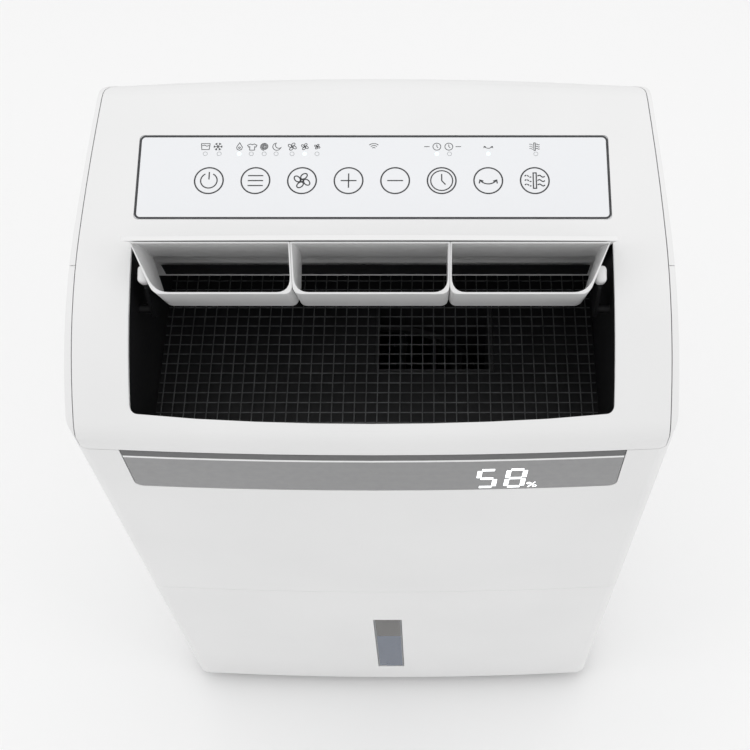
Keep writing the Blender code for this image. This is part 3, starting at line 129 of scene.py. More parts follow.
# Each digit: its left side and the segments that stay dark
DIGITS = ((0.0678, ("upper right", "lower left")), (0.0872, ()))
DIGIT_LOW = 0.4672
DIGIT_HEIGHT = 0.0296
DIGIT_WIDTH = 0.0142
DIGIT_STROKE = 0.0031
# The share of a stroke left open at each end of a segment, and the lean per unit of height
DIGIT_GAP = 0.42
DIGIT_LEAN = 0.05
PERCENT_LEFT = 0.1042
PERCENT_RIGHT = 0.1086
PERCENT_HEIGHT = 0.008
PERCENT_STROKE = 0.0009
PERCENT_RINGS = ((0.1044, 0.0062), (0.1086, 0.0018))
PERCENT_RING_RADIUS = 0.0013
PERCENT_RING_STROKE = 0.0007
# The width and inset of the painted shade along the level window's bevelled edge
WINDOW_EDGE_SHADE = 0.0011
WINDOW_EDGE_SHADE_INSET = 0.0006

# ---------------------------------------------------------------- the guard over the duct

WIRE = 0.0009
WIRE_PITCH = 0.0080
WIRE_SIDES = 6
# The wires stop this far short of the grille's box, and each layer sits this share of a wire up or down
WIRE_END = 0.001
WIRE_LIFT = 0.4

# ---------------------------------------------------------------- the flap and the cells under it

FLAP_OPEN = math.radians(-93.3)
FLAP_CHORD_SLOPE = math.radians(26.3)
FLAP_LENGTH = 0.110
CROWN_RADIUS = 0.230
UNDER_FLAP = 0.0029
PIVOT_ALONG = 0.0715
PIVOT_BELOW = 0.03165
VANE_START = 0.023
VANE_END = 0.065
VANE_FOOT = 0.0312
CELL_TOP = 0.1488
CELL_FOOT = 0.1378
CELL_MIDDLE = 0.0495
CELL_APART = 0.00008
CELL_WALL = 0.0011
CELL_RADIUS = 0.009
CELL_OUTER = 0.0055
CELL_CREASE = 0.0006
CELL_FRONT = 0.004
CELL_EDGE = 0.00025
LUG_X = 0.1470
LUG_ALONG = 0.0385
LUG_BELOW = 0.0160
LUG_SIZE = (0.0068, 0.0115, 0.0115, 1)
LUG_ROUNDING = 0.0028
# The black sheet of painted shade under the flap: where it starts and ends along the chord, how far below
# the underside it lies, its spans along, and its places across
SHADE_SHEET_START = 0.0865
SHADE_SHEET_END = 0.1035
SHADE_SHEET_BELOW = 0.0003
SHADE_SHEET_SPANS = 8
SHADE_SHEET_ACROSS = (-0.147, -0.07, 0.0, 0.07, 0.147)


# ---------------------------------------------------------------- camera, light and floor

def make_camera():
    """From above and in front, 60 degrees down, a little to the right of the middle."""
    camera = bpy.data.cameras.new("camera")
    camera.lens = LENS
    camera.shift_x = LENS_SHIFT
    eye = bpy.data.objects.new("camera", camera)
    eye.location = EYE
    eye.rotation_euler = (EYE_TILT, 0, 0)
    bpy.context.scene.collection.objects.link(eye)
    bpy.context.scene.camera = eye


def area_light(name, place, aim, size, power):
    """A softbox at place, turned to face aim."""
    data = bpy.data.lights.new(name, "AREA")
    data.shape = "RECTANGLE"
    data.size, data.size_y = size
    data.energy = power
    lamp = bpy.data.objects.new(name, data)
    lamp.location = place
    direction = Vector(aim) - Vector(place)
    lamp.rotation_euler = direction.to_track_quat("-Z", "Y").to_euler()
    bpy.context.scene.collection.objects.link(lamp)


def make_studio():
    """A bright room with three softboxes over a pale floor."""
    world = bpy.data.worlds.new("studio")
    world.use_nodes = True
    background = world.node_tree.nodes["Background"]
    background.inputs["Color"].default_value = (1, 1, 1, 1)
    background.inputs["Strength"].default_value = WORLD_LIGHT
    bpy.context.scene.world = world
    bpy.context.scene.view_settings.view_transform = "Standard"
    for name, (place, aim, size, power) in SOFTBOXES.items():
        area_light(name, place, aim, size, power)
    floor = bpy.data.meshes.new("floor")
    corners = [(x * FLOOR_HALF, y * FLOOR_HALF, 0) for x, y in ((-1, -1), (1, -1), (1, 1), (-1, 1))]
    floor.from_pydata(corners, [], [(0, 1, 2, 3)])
    ground = bpy.data.objects.new("floor", floor)
    bpy.context.scene.collection.objects.link(ground)
    floor.materials.append(plain_material("floor_paper", (FLOOR_GREY, FLOOR_GREY, FLOOR_GREY), 0.85))


# ---------------------------------------------------------------- materials

def plain_material(name, colour, roughness):
    """One even colour, for the floor only."""
    made = bpy.data.materials.new(name)
    made.use_nodes = True
    shader = made.node_tree.nodes["Principled BSDF"]
    shader.inputs["Base Color"].default_value = (*colour, 1)
    shader.inputs["Roughness"].default_value = roughness
    return made


class Surface:
    """A procedural material: one Principled shader and the textures that feed it."""

    def __init__(self, name, roughness=0.4, metallic=0.0, **settings):
        self.material = bpy.data.materials.new(name)
        self.material.use_nodes = True
        self.tree = self.material.node_tree
        self.shader = self.tree.nodes["Principled BSDF"]
        self.shader.inputs["Roughness"].default_value = roughness
        self.shader.inputs["Metallic"].default_value = metallic
        for key, value in settings.items():
            self.shader.inputs[key.replace("_", " ")].default_value = value
        self.place = self.tree.nodes.new("ShaderNodeTexCoord").outputs["Object"]
        self.bumps = None

    def node(self, kind, **inputs):
        made = self.tree.nodes.new(kind)
        for key, value in inputs.items():
            made.inputs[key.replace("_", " ")].default_value = value
        return made

    def link(self, start, end):
        self.tree.links.new(start, end)

    def stretched(self, scale):
        mapping = self.node("ShaderNodeMapping", Scale=scale)
        self.link(self.place, mapping.inputs["Vector"])
        return mapping.outputs["Vector"]

    def noise(self, scale, detail=3.0, stretch=None):
        made = self.node("ShaderNodeTexNoise", Scale=scale, Detail=detail)
        source = self.stretched(stretch) if stretch else self.place
        self.link(source, made.inputs["Vector"])
        return made.outputs["Fac"]

    def cells(self, scale):
        made = self.node("ShaderNodeTexVoronoi", Scale=scale)
        self.link(self.place, made.inputs["Vector"])
        return made.outputs["Distance"]

    def ramp(self, value, low, high, start=0.3, end=0.7):
        made = self.tree.nodes.new("ShaderNodeValToRGB")
        made.color_ramp.elements[0].position = start
        made.color_ramp.elements[0].color = (*low, 1)
        made.color_ramp.elements[1].position = end
        made.color_ramp.elements[1].color = (*high, 1)
        self.link(value, made.inputs["Fac"])
        return made.outputs["Color"]

    def colour(self, value, low, high, start=0.3, end=0.7):
        self.link(self.ramp(value, low, high, start, end), self.shader.inputs["Base Color"])
        return self

    def rough(self, value, low, high):
        spread = self.node("ShaderNodeMapRange", To_Min=low, To_Max=high)
        self.link(value, spread.inputs["Value"])
        self.link(spread.outputs["Result"], self.shader.inputs["Roughness"])
        return self

    def bump(self, value, height, strength=1.0):
        made = self.node("ShaderNodeBump", Strength=strength, Distance=height)
        self.link(value, made.inputs["Height"])
        if self.bumps:
            self.link(self.bumps, made.inputs["Normal"])
        self.bumps = made.outputs["Normal"]
        self.link(self.bumps, self.shader.inputs["Normal"])
        return self


def moulded(name, dark, light, roughness, grain=2600, height=0.000012, gloss=0.5, **settings):
    """Moulded plastic: a fine spark-eroded grain, a faint mottling and a slow waviness."""
    made = Surface(name, roughness, **settings)
    made.shader.inputs["Specular IOR Level"].default_value = gloss
    made.colour(made.noise(9, 2), dark, light)
    made.rough(made.noise(260, 3), roughness - 0.05, roughness + 0.06)
    made.bump(made.noise(14, 1), 0.00025, 0.25)
    made.bump(made.noise(grain, 2), height)
    return made.material


def speckled(name, dark, light, mottling, grain, depth, roughness, metallic=0.0, **settings):
    """One noise for the colour, a finer one for the relief: each its scale, detail and stretch."""
    made = Surface(name, roughness, metallic, **settings)
    made.colour(made.noise(*mottling), dark, light)
    made.bump(made.noise(*grain), depth)
    return made


def bands(surface, stops):
    """Level bands of colour up the piece, each from its own height, over the surface's mottling."""
    split = surface.node("ShaderNodeSeparateXYZ")
    surface.link(surface.place, split.inputs["Vector"])
    share = surface.node("ShaderNodeMapRange", From_Max=BAND_HEIGHT)
    surface.link(split.outputs["Z"], share.inputs["Value"])
    level = surface.tree.nodes.new("ShaderNodeValToRGB")
    surface.link(share.outputs["Result"], level.inputs["Fac"])
    ramp = level.color_ramp
    ramp.interpolation = "CONSTANT"
    ramp.elements.remove(ramp.elements[1])
    for number, (start, colour) in enumerate(stops):
        stop = ramp.elements.new(start / BAND_HEIGHT) if number else ramp.elements[0]
        stop.color = (*colour, 1)
    mix = surface.tree.nodes.new("ShaderNodeMix")
    mix.data_type = "RGBA"
    mix.blend_type = "MULTIPLY"
    mix.inputs["Factor"].default_value = BAND_MOTTLING
    surface.link(level.outputs["Color"], mix.inputs["A"])
    surface.link(surface.ramp(surface.noise(180, 3), (0.78, 0.78, 0.78), (1, 1, 1)), mix.inputs["B"])
    surface.link(mix.outputs["Result"], surface.shader.inputs["Base Color"])


def make_plastics():
    """The mouldings, and the fleece, rubber and circuit board that go with them."""
    natural = speckled("natural_plastic", (0.55, 0.60, 0.64), (0.64, 0.68, 0.71), (12, 2), (900, 2),
                       0.00001, 0.35, Subsurface_Weight=0.25, Subsurface_Scale=0.004)
    fleece = speckled("filter_fleece", (0.045, 0.05, 0.055), (0.14, 0.15, 0.16), (700, 4), (1400, 3),
                      0.0003, 0.95, Sheen_Weight=0.3)
    gum = speckled("rubber", (0.018, 0.018, 0.018), (0.035, 0.035, 0.036), (60, 3), (1200, 3),
                   0.00003, 0.75)
    board = Surface("circuit_board", 0.35, Coat_Weight=0.4, Coat_Roughness=0.15)
    board.colour(board.cells(420), (0.012, 0.10, 0.04), (0.03, 0.17, 0.08), 0.2, 0.5)
    board.bump(board.cells(420), 0.00005)
    return {"white_plastic": moulded("white_plastic", (0.785, 0.785, 0.785), (0.81, 0.81, 0.81), 0.40),
            "black_plastic": moulded("black_plastic", (0.008, 0.008, 0.009), (0.014, 0.014, 0.015),
                                     0.46, gloss=0.35),
            # Near-black plastic for the fan's parts: painted shade for the inside of the duct
            "fan_painted_shade": moulded("fan_painted_shade", (0.014, 0.014, 0.015), (0.024, 0.024, 0.026), 0.55),
            "grey_plastic": moulded("grey_plastic", (0.20, 0.205, 0.21), (0.25, 0.255, 0.26), 0.5),
            "natural_plastic": natural.material, "filter_fleece": fleece.material,
            "rubber": gum.material, "circuit_board": board.material}


def make_metals():
    """Painted, drawn, plated and enamelled metal, and the brushed silver of the trim."""
    wire = speckled("painted_wire", (0.12, 0.124, 0.126), (0.20, 0.206, 0.21), (60, 2), (1500, 2),
                    0.00001, 0.30, 0.55)
    fins = speckled("aluminium", (0.50, 0.52, 0.53), (0.74, 0.75, 0.76), (1, 2, (700, 20, 20)),
                    (1, 1, (900, 10, 10)), 0.00006, 0.36, 1.0)
    tube = speckled("copper", (0.50, 0.22, 0.12), (0.76, 0.40, 0.25), (45, 4), (500, 2),
                    0.00002, 0.30, 1.0)
    enamel = speckled("black_enamel", (0.012, 0.012, 0.014), (0.026, 0.026, 0.03), (20, 3), (260, 2),
                      0.00006, 0.22, Coat_Weight=0.5, Coat_Roughness=0.1)
    zinc = Surface("steel", 0.34, 1.0)
    zinc.colour(zinc.cells(160), (0.48, 0.49, 0.50), (0.62, 0.63, 0.64), 0.1, 0.7)
    zinc.bump(zinc.noise(700, 2), 0.00001)
    trim = Surface("silver_trim", 0.34, 0.82, Anisotropic=0.35)
    trim.rough(trim.noise(1.0, 2, (8, 40, 1500)), 0.28, 0.42)
    trim.bump(trim.noise(1.0, 2, (10, 60, 2400)), 0.000008)
    # The trim's bands: its own silver below, then a painted highlight for its lit edge, then painted shade
    # for the upper chamfer above
    bands(trim, ((0.0, (0.30, 0.30, 0.303)), (TRIM_HIGHLIGHT_LOW, (0.86, 0.86, 0.86)),
                 (TRIM_HIGHLIGHT_HIGH, (0.13, 0.131, 0.133))))
    return {"painted_wire": wire.material, "aluminium": fins.material, "copper": tube.material,
            "black_enamel": enamel.material, "steel": zinc.material, "silver_trim": trim.material}


def make_films_and_inks():
    """The panel's film and prints, the level window and what is lit."""
    film = Surface("panel_film", 0.24, Coat_Weight=0.25, Coat_Roughness=0.12)
    film.colour(film.noise(6, 2), (0.785, 0.795, 0.815), (0.80, 0.81, 0.83))
    film.rough(film.noise(420, 2), 0.20, 0.28)
    film.bump(film.noise(900, 2), 0.000006)
    lens = Surface("smoked_window", 0.22, Coat_Weight=0.1, Coat_Roughness=0.1)
    lens.bump(lens.noise(30, 1), 0.00004)
    water_line = WINDOW_LOW.z + (WINDOW_HIGH.z - WINDOW_LOW.z) * WATER_SHARE
    bands(lens, ((0.0, (0.072, 0.095, 0.145)), (water_line, (0.060, 0.056, 0.052))))
    ink = speckled("dark_ink", (0.018, 0.019, 0.022), (0.035, 0.036, 0.04), (300, 2), (2000, 2),
                   0.000004, 0.45)
    # Grey ink for the lamp rings, also used for the painted shade round the level window
    pale = speckled("grey_ink", (0.20, 0.21, 0.22), (0.27, 0.28, 0.29), (300, 2), (2000, 2),
                    0.000004, 0.45)
    glow = Surface("display_glow", 0.4, Emission_Color=(0.95, 0.98, 1.0, 1), Emission_Strength=1.6)
    glow.colour(glow.noise(300, 2), (0.82, 0.85, 0.88), (0.9, 0.92, 0.95))
    lamp = Surface("indicator_glow", 0.4, Emission_Color=(0.45, 0.85, 1.0, 1), Emission_Strength=1.3)
    lamp.colour(lamp.noise(300, 2), (0.55, 0.80, 0.9), (0.65, 0.88, 0.95))
    return {"panel_film": film.material, "smoked_window": lens.material, "dark_ink": ink.material,
            "grey_ink": pale.material, "display_glow": glow.material, "indicator_glow": lamp.material}


MATERIALS = {**make_plastics(), **make_metals(), **make_films_and_inks()}


# ---------------------------------------------------------------- helpers for pieces

def new_piece(name, bm, material, body, smooth=35):
    """Makes an object of a drawn mesh; edges sharper than smooth degrees stay sharp."""
    bmesh.ops.remove_doubles(bm, verts=bm.verts, dist=0.000001)
    bmesh.ops.recalc_face_normals(bm, faces=bm.faces)
    mesh = bpy.data.meshes.new(name)
    bm.to_mesh(mesh)
    bm.free()
    mesh.materials.append(MATERIALS[material])
    mesh.shade_smooth()
    mesh.set_sharp_from_angle(angle=math.radians(smooth))
    piece = bpy.data.objects.new(name, mesh)
    bpy.context.scene.collection.objects.link(piece)
    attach(piece, body)
    return piece


def refine(name, material, edge):
    """Gives a CAD node its finish, joins its facets and rounds its hard edges by edge.

    Known fault: on rear_cover this folds faces over some of the slots.
    """
    node = NODES[name]
    mesh = node.data
    mesh.materials.clear()
    mesh.materials.append(MATERIALS[material])
    custom = mesh.attributes.get("custom_normal")
    if custom:
        mesh.attributes.remove(custom)
    mesh.shade_smooth()
    weld = node.modifiers.new("weld", "WELD")
    weld.merge_threshold = 0.000002
    flat = node.modifiers.new("flat faces", "DECIMATE")
    flat.decimate_type = "DISSOLVE"
    flat.angle_limit = math.radians(0.4)
    if edge:
        bevel = node.modifiers.new("soft edges", "BEVEL")
        bevel.width = edge
        bevel.segments = 2
        bevel.limit_method = "ANGLE"
        bevel.angle_limit = HARD_EDGE
        bevel.miter_outer = "MITER_ARC"
        bevel.harden_normals = True
    else:
        split = node.modifiers.new("sharp edges", "EDGE_SPLIT")
        split.split_angle = HARD_EDGE


def dress_nodes():
    """Every CAD node takes its finish from its slot, apart from the few in OTHER_FINISH."""
    for entry in frame["record"]["subparts"]:
        name = entry["node"]
        refine(name, OTHER_FINISH.get(name, entry["material_slot"]), SOFT_EDGES.get(name, 0.0))


# ---------------------------------------------------------------- drawn lines and surfaces

def ring(x, y, radius, start=0.0, end=360.0, steps=28):
    """Points on an arc, its angles in degrees."""
    angles = [math.radians(start + (end - start) * i / steps) for i in range(steps + 1)]
    return [(x + radius * math.cos(a), y + radius * math.sin(a)) for a in angles]


def ribbon(bm, place, points, width):
    """A flat line of one width along points, laid on a surface that place describes."""
    points = [Vector(point) for point in points]
    closed = (points[0] - points[-1]).length < 1e-7
    if closed:
        points = points[:-1]
    count = len(points)
    rows = []
    for i, point in enumerate(points):
        before = points[i - 1] if (closed or i) else point
        after = points[(i + 1) % count] if (closed or i < count - 1) else point
        legs = [leg.normalized() for leg in (point - before, after - point) if leg.length > 1e-9]
        along = sum(legs, Vector((0, 0))).normalized()
        stretch = 1 / max(along.dot(legs[0]), 0.5)
        across = Vector((-along.y, along.x)) * width / 2 * stretch
        rows.append([bm.verts.new(place(*(point + across))), bm.verts.new(place(*(point - across)))])
    for i in range(count if closed else count - 1):
        a, b = rows[i], rows[(i + 1) % count]
        bm.faces.new((a[0], a[1], b[1], b[0]))


def disc(bm, place, x, y, radius, steps=20):
    """A filled circle on the surface that place describes."""
    bm.faces.new([bm.verts.new(place(*point)) for point in ring(x, y, radius, steps=steps)[:-1]])


def on_panel(u, v):
    """Just above the sloping panel, u across it and v up it, in metres from its middle."""
    return PANEL_PLACE @ Vector((u, v, PANEL_THICKNESS / 2 + PROUD))


def on_front(x, z):
    """Just in front of the body's bowed front."""
    bulge = FRONT_BOW * (x / BODY_HALF) ** 2
    return Vector((x, TRIM_FRONT + bulge - PROUD, z))


def shifted(points, x, y, scale=1.0):
    """The same points, scaled and then moved."""
    return [(x + u * scale, y + v * scale) for u, v in points]


# ---------------------------------------------------------------- the symbols, in millimetres

def petal_fan():
    """A fan of four petals round a hub."""
    lines = []
    for quarter in range(4):
        turn = math.radians(90 * quarter)
        loop = []
        for u, v in ring(0, 0, 1.0, steps=16):
            a, b = 1.2 + 2.0 * v + 0.8 * u, 3.1 + 2.3 * u * 0.9
            loop.append((a * math.cos(turn) - b * math.sin(turn), a * math.sin(turn) + b * math.cos(turn)))
        lines.append(loop)
    return lines + [ring(0, 0, 0.8, steps=12)]


def wave(x, y, length, dashes=1):
    """One wave of a sine from x, drawn whole or in dashes."""
    lines = []
    for dash in range(dashes):
        start = dash / dashes
        end = start + (1.0 if dashes == 1 else 0.7) / dashes
        shares = [start + (end - start) * i / 8 for i in range(9)]
        lines.append([(x + length * s, y + 0.7 * math.sin(s * 2 * math.pi)) for s in shares])
    return lines


def filter_symbol():
    """A filter on edge: broken waves reach it, whole ones leave it."""
    lines = [[(-1, -5.6), (1, -5.6), (1, 5.6), (-1, 5.6), (-1, -5.6)]]
    for height in (-3.2, 0.0, 3.2):
        lines += wave(-6.6, height, 4.8, 3)
        lines += wave(1.8, height, 4.8)
    return lines


def swing_symbol():
    """A shallow arc with an arrowhead at each end."""
    lines = [ring(0, 4.4, 6.8, 218, 322, 18)]
    for side in (-1, 1):
        tip = (side * 5.5, 0.4)
        lines.append([(side * 5.9, -2.1), tip, (side * 3.2, -0.4)])
    return lines


def key_symbols():
    """The eight keys from left to right, each a list of lines round the key's middle."""
    cross = [[(0, -5.2), (0, 5.2)]]
    bar = [[(-5.2, 0), (5.2, 0)]]
    hands = [[(0, 4.8), (0, 0), (2.5, -2.9)]]
    return [[ring(0, 0, 5.4, 118, 422), [(0, 0.8), (0, 6.2)]],
            [[(-5, h), (5, h)] for h in (-3.6, 0, 3.6)],
            petal_fan(), bar + cross, bar, [ring(0, 0, 7.2)] + hands,
            swing_symbol(), filter_symbol()]


def snowflake():
    """Six arms, each with a small fork at its end."""
    lines = []
    for turn in range(6):
        a = math.radians(60 * turn)
        out = Vector((math.cos(a), math.sin(a)))
        side = Vector((-out.y, out.x))
        lines.append([(0, 0), tuple(out * 2.9)])
        lines.append([tuple(out * 2.7 + side * 0.8), tuple(out * 1.9), tuple(out * 2.7 - side * 0.8)])
    return lines


def spiral():
    """A line that winds outwards at an even pitch."""
    return [[((0.3 + 0.32 * i / 6) * math.cos(i / 2), (0.3 + 0.32 * i / 6) * math.sin(i / 2))
             for i in range(48)]]


def indicators():
    """Each small symbol with its place across the panel."""
    tank = [[(-2.9, 2.2), (-2.4, -2.2), (2.4, -2.2), (2.9, 2.2)], [(-3, 2.2), (3, 2.2)],
            [(-2.4, 0.6), (-0.8, 1.1), (0.8, 0.3), (2.4, 0.9)]]
    drop = [[(0, 2.9), (-1.9, -0.4), (-1.5, -2.0), (0, -2.7), (1.5, -2.0), (1.9, -0.4), (0, 2.9)],
            ring(0, -0.8, 0.6, steps=10)]
    shirt = [[(-1.2, 2.0), (-3.1, 1.0), (-2.4, -0.4), (-1.6, 0), (-1.6, -2.6), (1.6, -2.6), (1.6, 0),
              (2.4, -0.4), (3.1, 1.0), (1.2, 2.0), (0, 1.3), (-1.2, 2.0)]]
    moon = [ring(0, 0, 2.7, 110, 340, 18) + ring(1.3, 1.1, 2.3, 318, 132, 14)]
    clock = [ring(0, 0, 2.6, steps=20), [(0, 1.6), (0, 0), (0.9, -0.9)]]
    waves = [ring(0, -2.2, r, 48, 132, 10) for r in (1.5, 3.0, 4.5)]
    dash = [[(-1.8, 0), (1.8, 0)]]
    fans = [[shifted(line, 0, 0, scale) for line in petal_fan()] for scale in (0.52, 0.44, 0.34)]
    swing = [shifted(line, 0, 0, 0.5) for line in swing_symbol()]
    sieve = [shifted(line, 0, 0, 0.5) for line in filter_symbol()]
    return [(-111.2, tank), (-103.0, snowflake()), (-88.8, drop), (-80.4, shirt), (-72.3, spiral()),
            (-64.1, moon), (-53.9, fans[0]), (-45.6, fans[1]), (-37.4, fans[2]), (0, waves),
            (35.1, dash), (41.7, clock), (49.6, clock), (55.9, dash), (75.7, swing), (106.3, sieve)]


def print_panel():
    """The border, the keys and the symbols in dark ink, then the lamps."""
    def place(u, v):
        return on_panel(u / 1000, v / 1000)

    dark = bmesh.new()
    border = []
    for sign_u, sign_v, start in ((1, 1, 0), (-1, 1, 90), (-1, -1, 180), (1, -1, 270)):
        border += ring(sign_u * (BORDER_HALF_U - BORDER_CORNER),
                       sign_v * (BORDER_HALF_V - BORDER_CORNER), BORDER_CORNER, start, start + 90, 8)
    ribbon(dark, place, border + border[:1], BORDER_LINE)
    for number, symbol in enumerate(key_symbols()):
        x = KEY_FIRST + KEY_PITCH * number
        ribbon(dark, place, ring(x, KEY_V, KEY_RADIUS, steps=56), KEY_LINE)
        for line in symbol:
            ribbon(dark, place, shifted(line, x, KEY_V), KEY_SYMBOL_LINE)
    for x, symbol in indicators():
        for line in symbol:
            ribbon(dark, place, shifted(line, x, SYMBOL_V), SYMBOL_LINE)
    new_piece("panel_prints", dark, "dark_ink", "body")
    rings = bmesh.new()
    for x in LAMPS:
        ribbon(rings, place, ring(x, LAMP_V, LAMP_RING, steps=20), LAMP_LINE)
    new_piece("panel_lamp_rings", rings, "grey_ink", "body")
    lit = bmesh.new()
    for x in LIT_LAMPS:
        disc(lit, place, x, LAMP_V, LAMP_DISC)
    new_piece("panel_lit_lamps", lit, "indicator_glow", "body")


def window_edge_shade():
    """A thin dark line round the level window: painted shade along its bevelled edge."""
    bm = bmesh.new()
    left, right = WINDOW_LOW.x, WINDOW_HIGH.x
    low, high = WINDOW_LOW.z, WINDOW_HIGH.z
    ahead = WINDOW_LOW.y - on_front((left + right) / 2, low).y

    def place(x, z):
        return on_front(x, z) + Vector((0, max(ahead, 0.0), 0))

    left, right = left + WINDOW_EDGE_SHADE_INSET, right - WINDOW_EDGE_SHADE_INSET
    low, high = low + WINDOW_EDGE_SHADE_INSET, high - WINDOW_EDGE_SHADE_INSET
    ribbon(bm, place, [(left, low), (right, low), (right, high), (left, high), (left, low)], WINDOW_EDGE_SHADE)
    # Painted shade along the window's edge, drawn in the grey ink material
    new_piece("level_window_edge_shade", bm, "grey_ink", "tank")


SEGMENTS = {"top": ((0, 1), (1, 1)), "middle": ((0, 0.5), (1, 0.5)), "foot": ((0, 0), (1, 0)),
            "upper left": ((0, 0.5), (0, 1)), "upper right": ((1, 0.5), (1, 1)),
            "lower left": ((0, 0), (0, 0.5)), "lower right": ((1, 0), (1, 0.5))}


def lean(x, z):
    """A point of the display, which leans to the right as it rises."""
    return on_front(x + DIGIT_LEAN * (z - DIGIT_LOW), z)


def display_digits():
    """Two leaning seven-segment digits and the small percent sign."""
    bm = bmesh.new()
    wide, high = DIGIT_WIDTH - DIGIT_STROKE, DIGIT_HEIGHT - DIGIT_STROKE
    for left, dark in DIGITS:
        corner = Vector((left + DIGIT_STROKE / 2, DIGIT_LOW + DIGIT_STROKE / 2))
        for name, ends in SEGMENTS.items():
            if name in dark:
                continue
            start, end = [corner + Vector((u * wide, v * high)) for u, v in ends]
            gap = (end - start).normalized() * DIGIT_STROKE * DIGIT_GAP
            ribbon(bm, lean, [start + gap, end - gap], DIGIT_STROKE)
    ribbon(bm, lean, [(PERCENT_LEFT, DIGIT_LOW), (PERCENT_RIGHT, DIGIT_LOW + PERCENT_HEIGHT)],
           PERCENT_STROKE)
    for x, above in PERCENT_RINGS:
        ribbon(bm, lean, ring(x, DIGIT_LOW + above, PERCENT_RING_RADIUS, steps=14), PERCENT_RING_STROKE)
    new_piece("display_digits", bm, "display_glow", "body")


# ---------------------------------------------------------------- the guard over the duct

def guard_mesh():
    """Crossed wires over the duct's floor, the crosswise ones laid on the lengthwise ones."""
    bm = bmesh.new()
    size = GRILLE_HIGH - GRILLE_LOW
    middle = (GRILLE_LOW + GRILLE_HIGH) / 2
    for axis, across in ((0, 1), (1, 0)):
        count = int((size[across] - WIRE) / WIRE_PITCH)
        start = middle[across] - count * WIRE_PITCH / 2
        lift = WIRE * WIRE_LIFT * (1 if axis else -1)
        for number in range(count + 1):
            swept = bmesh.ops.create_cone(bm, cap_ends=True, segments=WIRE_SIDES, radius1=WIRE / 2,
                                          radius2=WIRE / 2, depth=size[axis] - 2 * WIRE_END)
            centre = Vector(middle)
            centre[across] = start + number * WIRE_PITCH
            centre.z = middle.z + lift
            turn = Matrix.Rotation(math.pi / 2, 4, "Y" if axis == 0 else "X")
            bmesh.ops.transform(bm, matrix=Matrix.Translation(centre) @ turn, verts=swept["verts"])
    guard = new_piece("outlet_guard_wires", bm, "painted_wire", "body")
    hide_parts("outlet_grille")


# ---------------------------------------------------------------- the cells under the flap

CHORD = FLAP_CHORD_SLOPE + FLAP_OPEN
ALONG = Vector((0, math.cos(CHORD), math.sin(CHORD)))
BELOW = Vector((0, math.sin(CHORD), -math.cos(CHORD)))


def flap_point(x, along, below):
    """A point of the open flap: across it, along its chord from the front edge, and below it."""
    return (PIVOT + ALONG * (along - PIVOT_ALONG) + BELOW * (below - PIVOT_BELOW)
            + Vector((x, 0, 0)))


def underside(along):
    """The flap's lower face, which is crowned above its chord."""
    return UNDER_FLAP - along * (FLAP_LENGTH - along) / (2 * CROWN_RADIUS)


def rounded_loop(corners, radii, steps=6):
    """A polygon with each corner replaced by a soft curve of its own size."""
    loop = []
    for i, corner in enumerate(corners):
        corner = Vector(corner)
        start = corner + (Vector(corners[i - 1]) - corner).normalized() * radii[i]
        end = corner + (Vector(corners[(i + 1) % len(corners)]) - corner).normalized() * radii[i]
        for step in range(steps + 1):
            s = step / steps
            loop.append(start * (1 - s) ** 2 + corner * 2 * s * (1 - s) + end * s ** 2)
    return loop


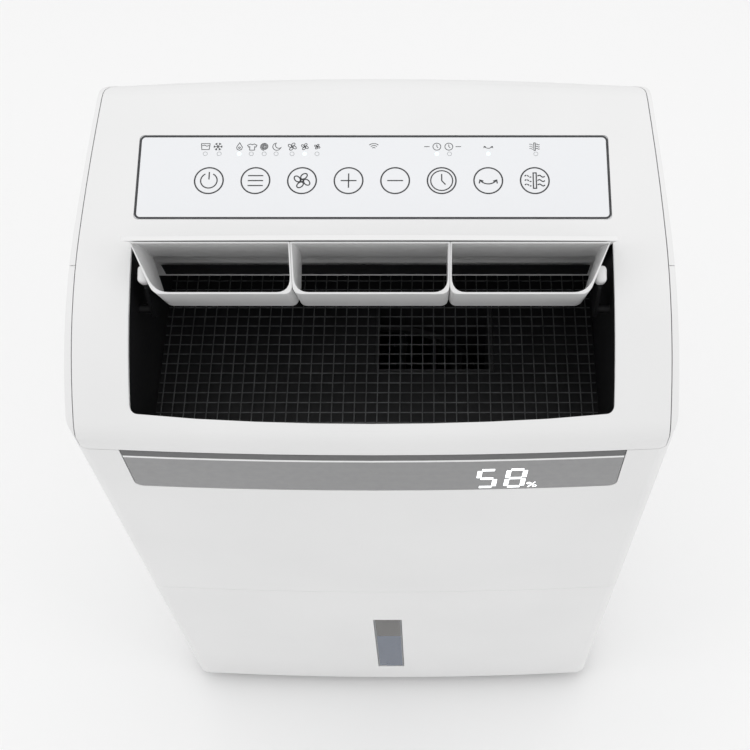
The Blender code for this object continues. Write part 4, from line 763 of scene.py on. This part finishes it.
def cell_wall(bm, top, foot, spans=8):
    """One rounded cell: a wall round its opening, from the flap's edge back to the vane's end."""
    deep = VANE_FOOT
    wall = CELL_WALL
    outer = rounded_loop([(top[0], 0), (top[1], 0), (foot[1], deep), (foot[0], deep)],
                         (CELL_CREASE, CELL_CREASE, CELL_OUTER, CELL_OUTER))
    inner = rounded_loop([(top[0] + wall, wall), (top[1] - wall, wall),
                          (foot[1] - wall, deep - wall), (foot[0] + wall, deep - wall)],
                         (CELL_CREASE, CELL_CREASE, CELL_RADIUS, CELL_RADIUS))
    grid = []
    for loop in (outer, inner):
        for x, below in loop:
            share = below / deep
            front = CELL_FRONT + (VANE_START - CELL_FRONT) * share
            row = []
            for step in range(spans + 1):
                along = front + (VANE_END - front) * step / spans
                row.append(bm.verts.new(flap_point(x, along, below + underside(along) * (1 - share))))
            grid.append(row)
    count = len(outer)
    for i in range(count):
        j = (i + 1) % count
        for step in range(spans):
            bm.faces.new((grid[i][step], grid[j][step], grid[j][step + 1], grid[i][step + 1]))
            bm.faces.new((grid[count + j][step], grid[count + i][step],
                          grid[count + i][step + 1], grid[count + j][step + 1]))
        bm.faces.new((grid[i][0], grid[count + i][0], grid[count + j][0], grid[j][0]))
        bm.faces.new((grid[i][-1], grid[j][-1], grid[count + j][-1], grid[count + i][-1]))


def flap_cells():
    """Three cells side by side under the flap, with a rounded lug at each end."""
    bm = bmesh.new()
    tops = (-CELL_TOP, -CELL_MIDDLE, CELL_MIDDLE, CELL_TOP)
    feet = (-CELL_FOOT, -CELL_MIDDLE, CELL_MIDDLE, CELL_FOOT)
    for i in range(3):
        cell_wall(bm, (tops[i] + CELL_APART, tops[i + 1] - CELL_APART),
                  (feet[i] + CELL_APART, feet[i + 1] - CELL_APART))
    for side in (-1, 1):
        block = bmesh.ops.create_cube(bm, size=1.0)["verts"]
        place = Matrix.Translation(flap_point(side * LUG_X, LUG_ALONG, LUG_BELOW))
        turn = Matrix.Rotation(CHORD, 4, "X")
        bmesh.ops.transform(bm, verts=block, matrix=place @ turn @ Matrix.Diagonal(LUG_SIZE))
        edges = list({edge for vert in block for edge in vert.link_edges})
        bmesh.ops.bevel(bm, geom=edges, offset=LUG_ROUNDING, segments=4, affect="EDGES", profile=0.5)
    piece = new_piece("flap_cells", bm, "white_plastic", "flap", smooth=50)
    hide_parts("flap_louvre")
    soft = piece.modifiers.new("soft edges", "BEVEL")
    soft.width = CELL_EDGE
    soft.segments = 2
    soft.limit_method = "ANGLE"
    soft.angle_limit = math.radians(55)


def flap_shade_sheet():
    """A black sheet of painted shade on the flap's underside, behind the cells, where the underside lies
    in shadow.
    """
    bm = bmesh.new()
    rows = []
    for step in range(SHADE_SHEET_SPANS + 1):
        along = SHADE_SHEET_START + (SHADE_SHEET_END - SHADE_SHEET_START) * step / SHADE_SHEET_SPANS
        rows.append([bm.verts.new(flap_point(x, along, underside(along) + SHADE_SHEET_BELOW))
                     for x in SHADE_SHEET_ACROSS])
    for a, b in zip(rows, rows[1:]):
        for i in range(len(SHADE_SHEET_ACROSS) - 1):
            bm.faces.new((a[i], a[i + 1], b[i + 1], b[i]))
    new_piece("flap_shade_sheet", bm, "black_plastic", "flap")


# ---------------------------------------------------------------- the scene

make_camera()
make_studio()
dress_nodes()
print_panel()
window_edge_shade()
display_digits()
guard_mesh()
flap_cells()
flap_shade_sheet()
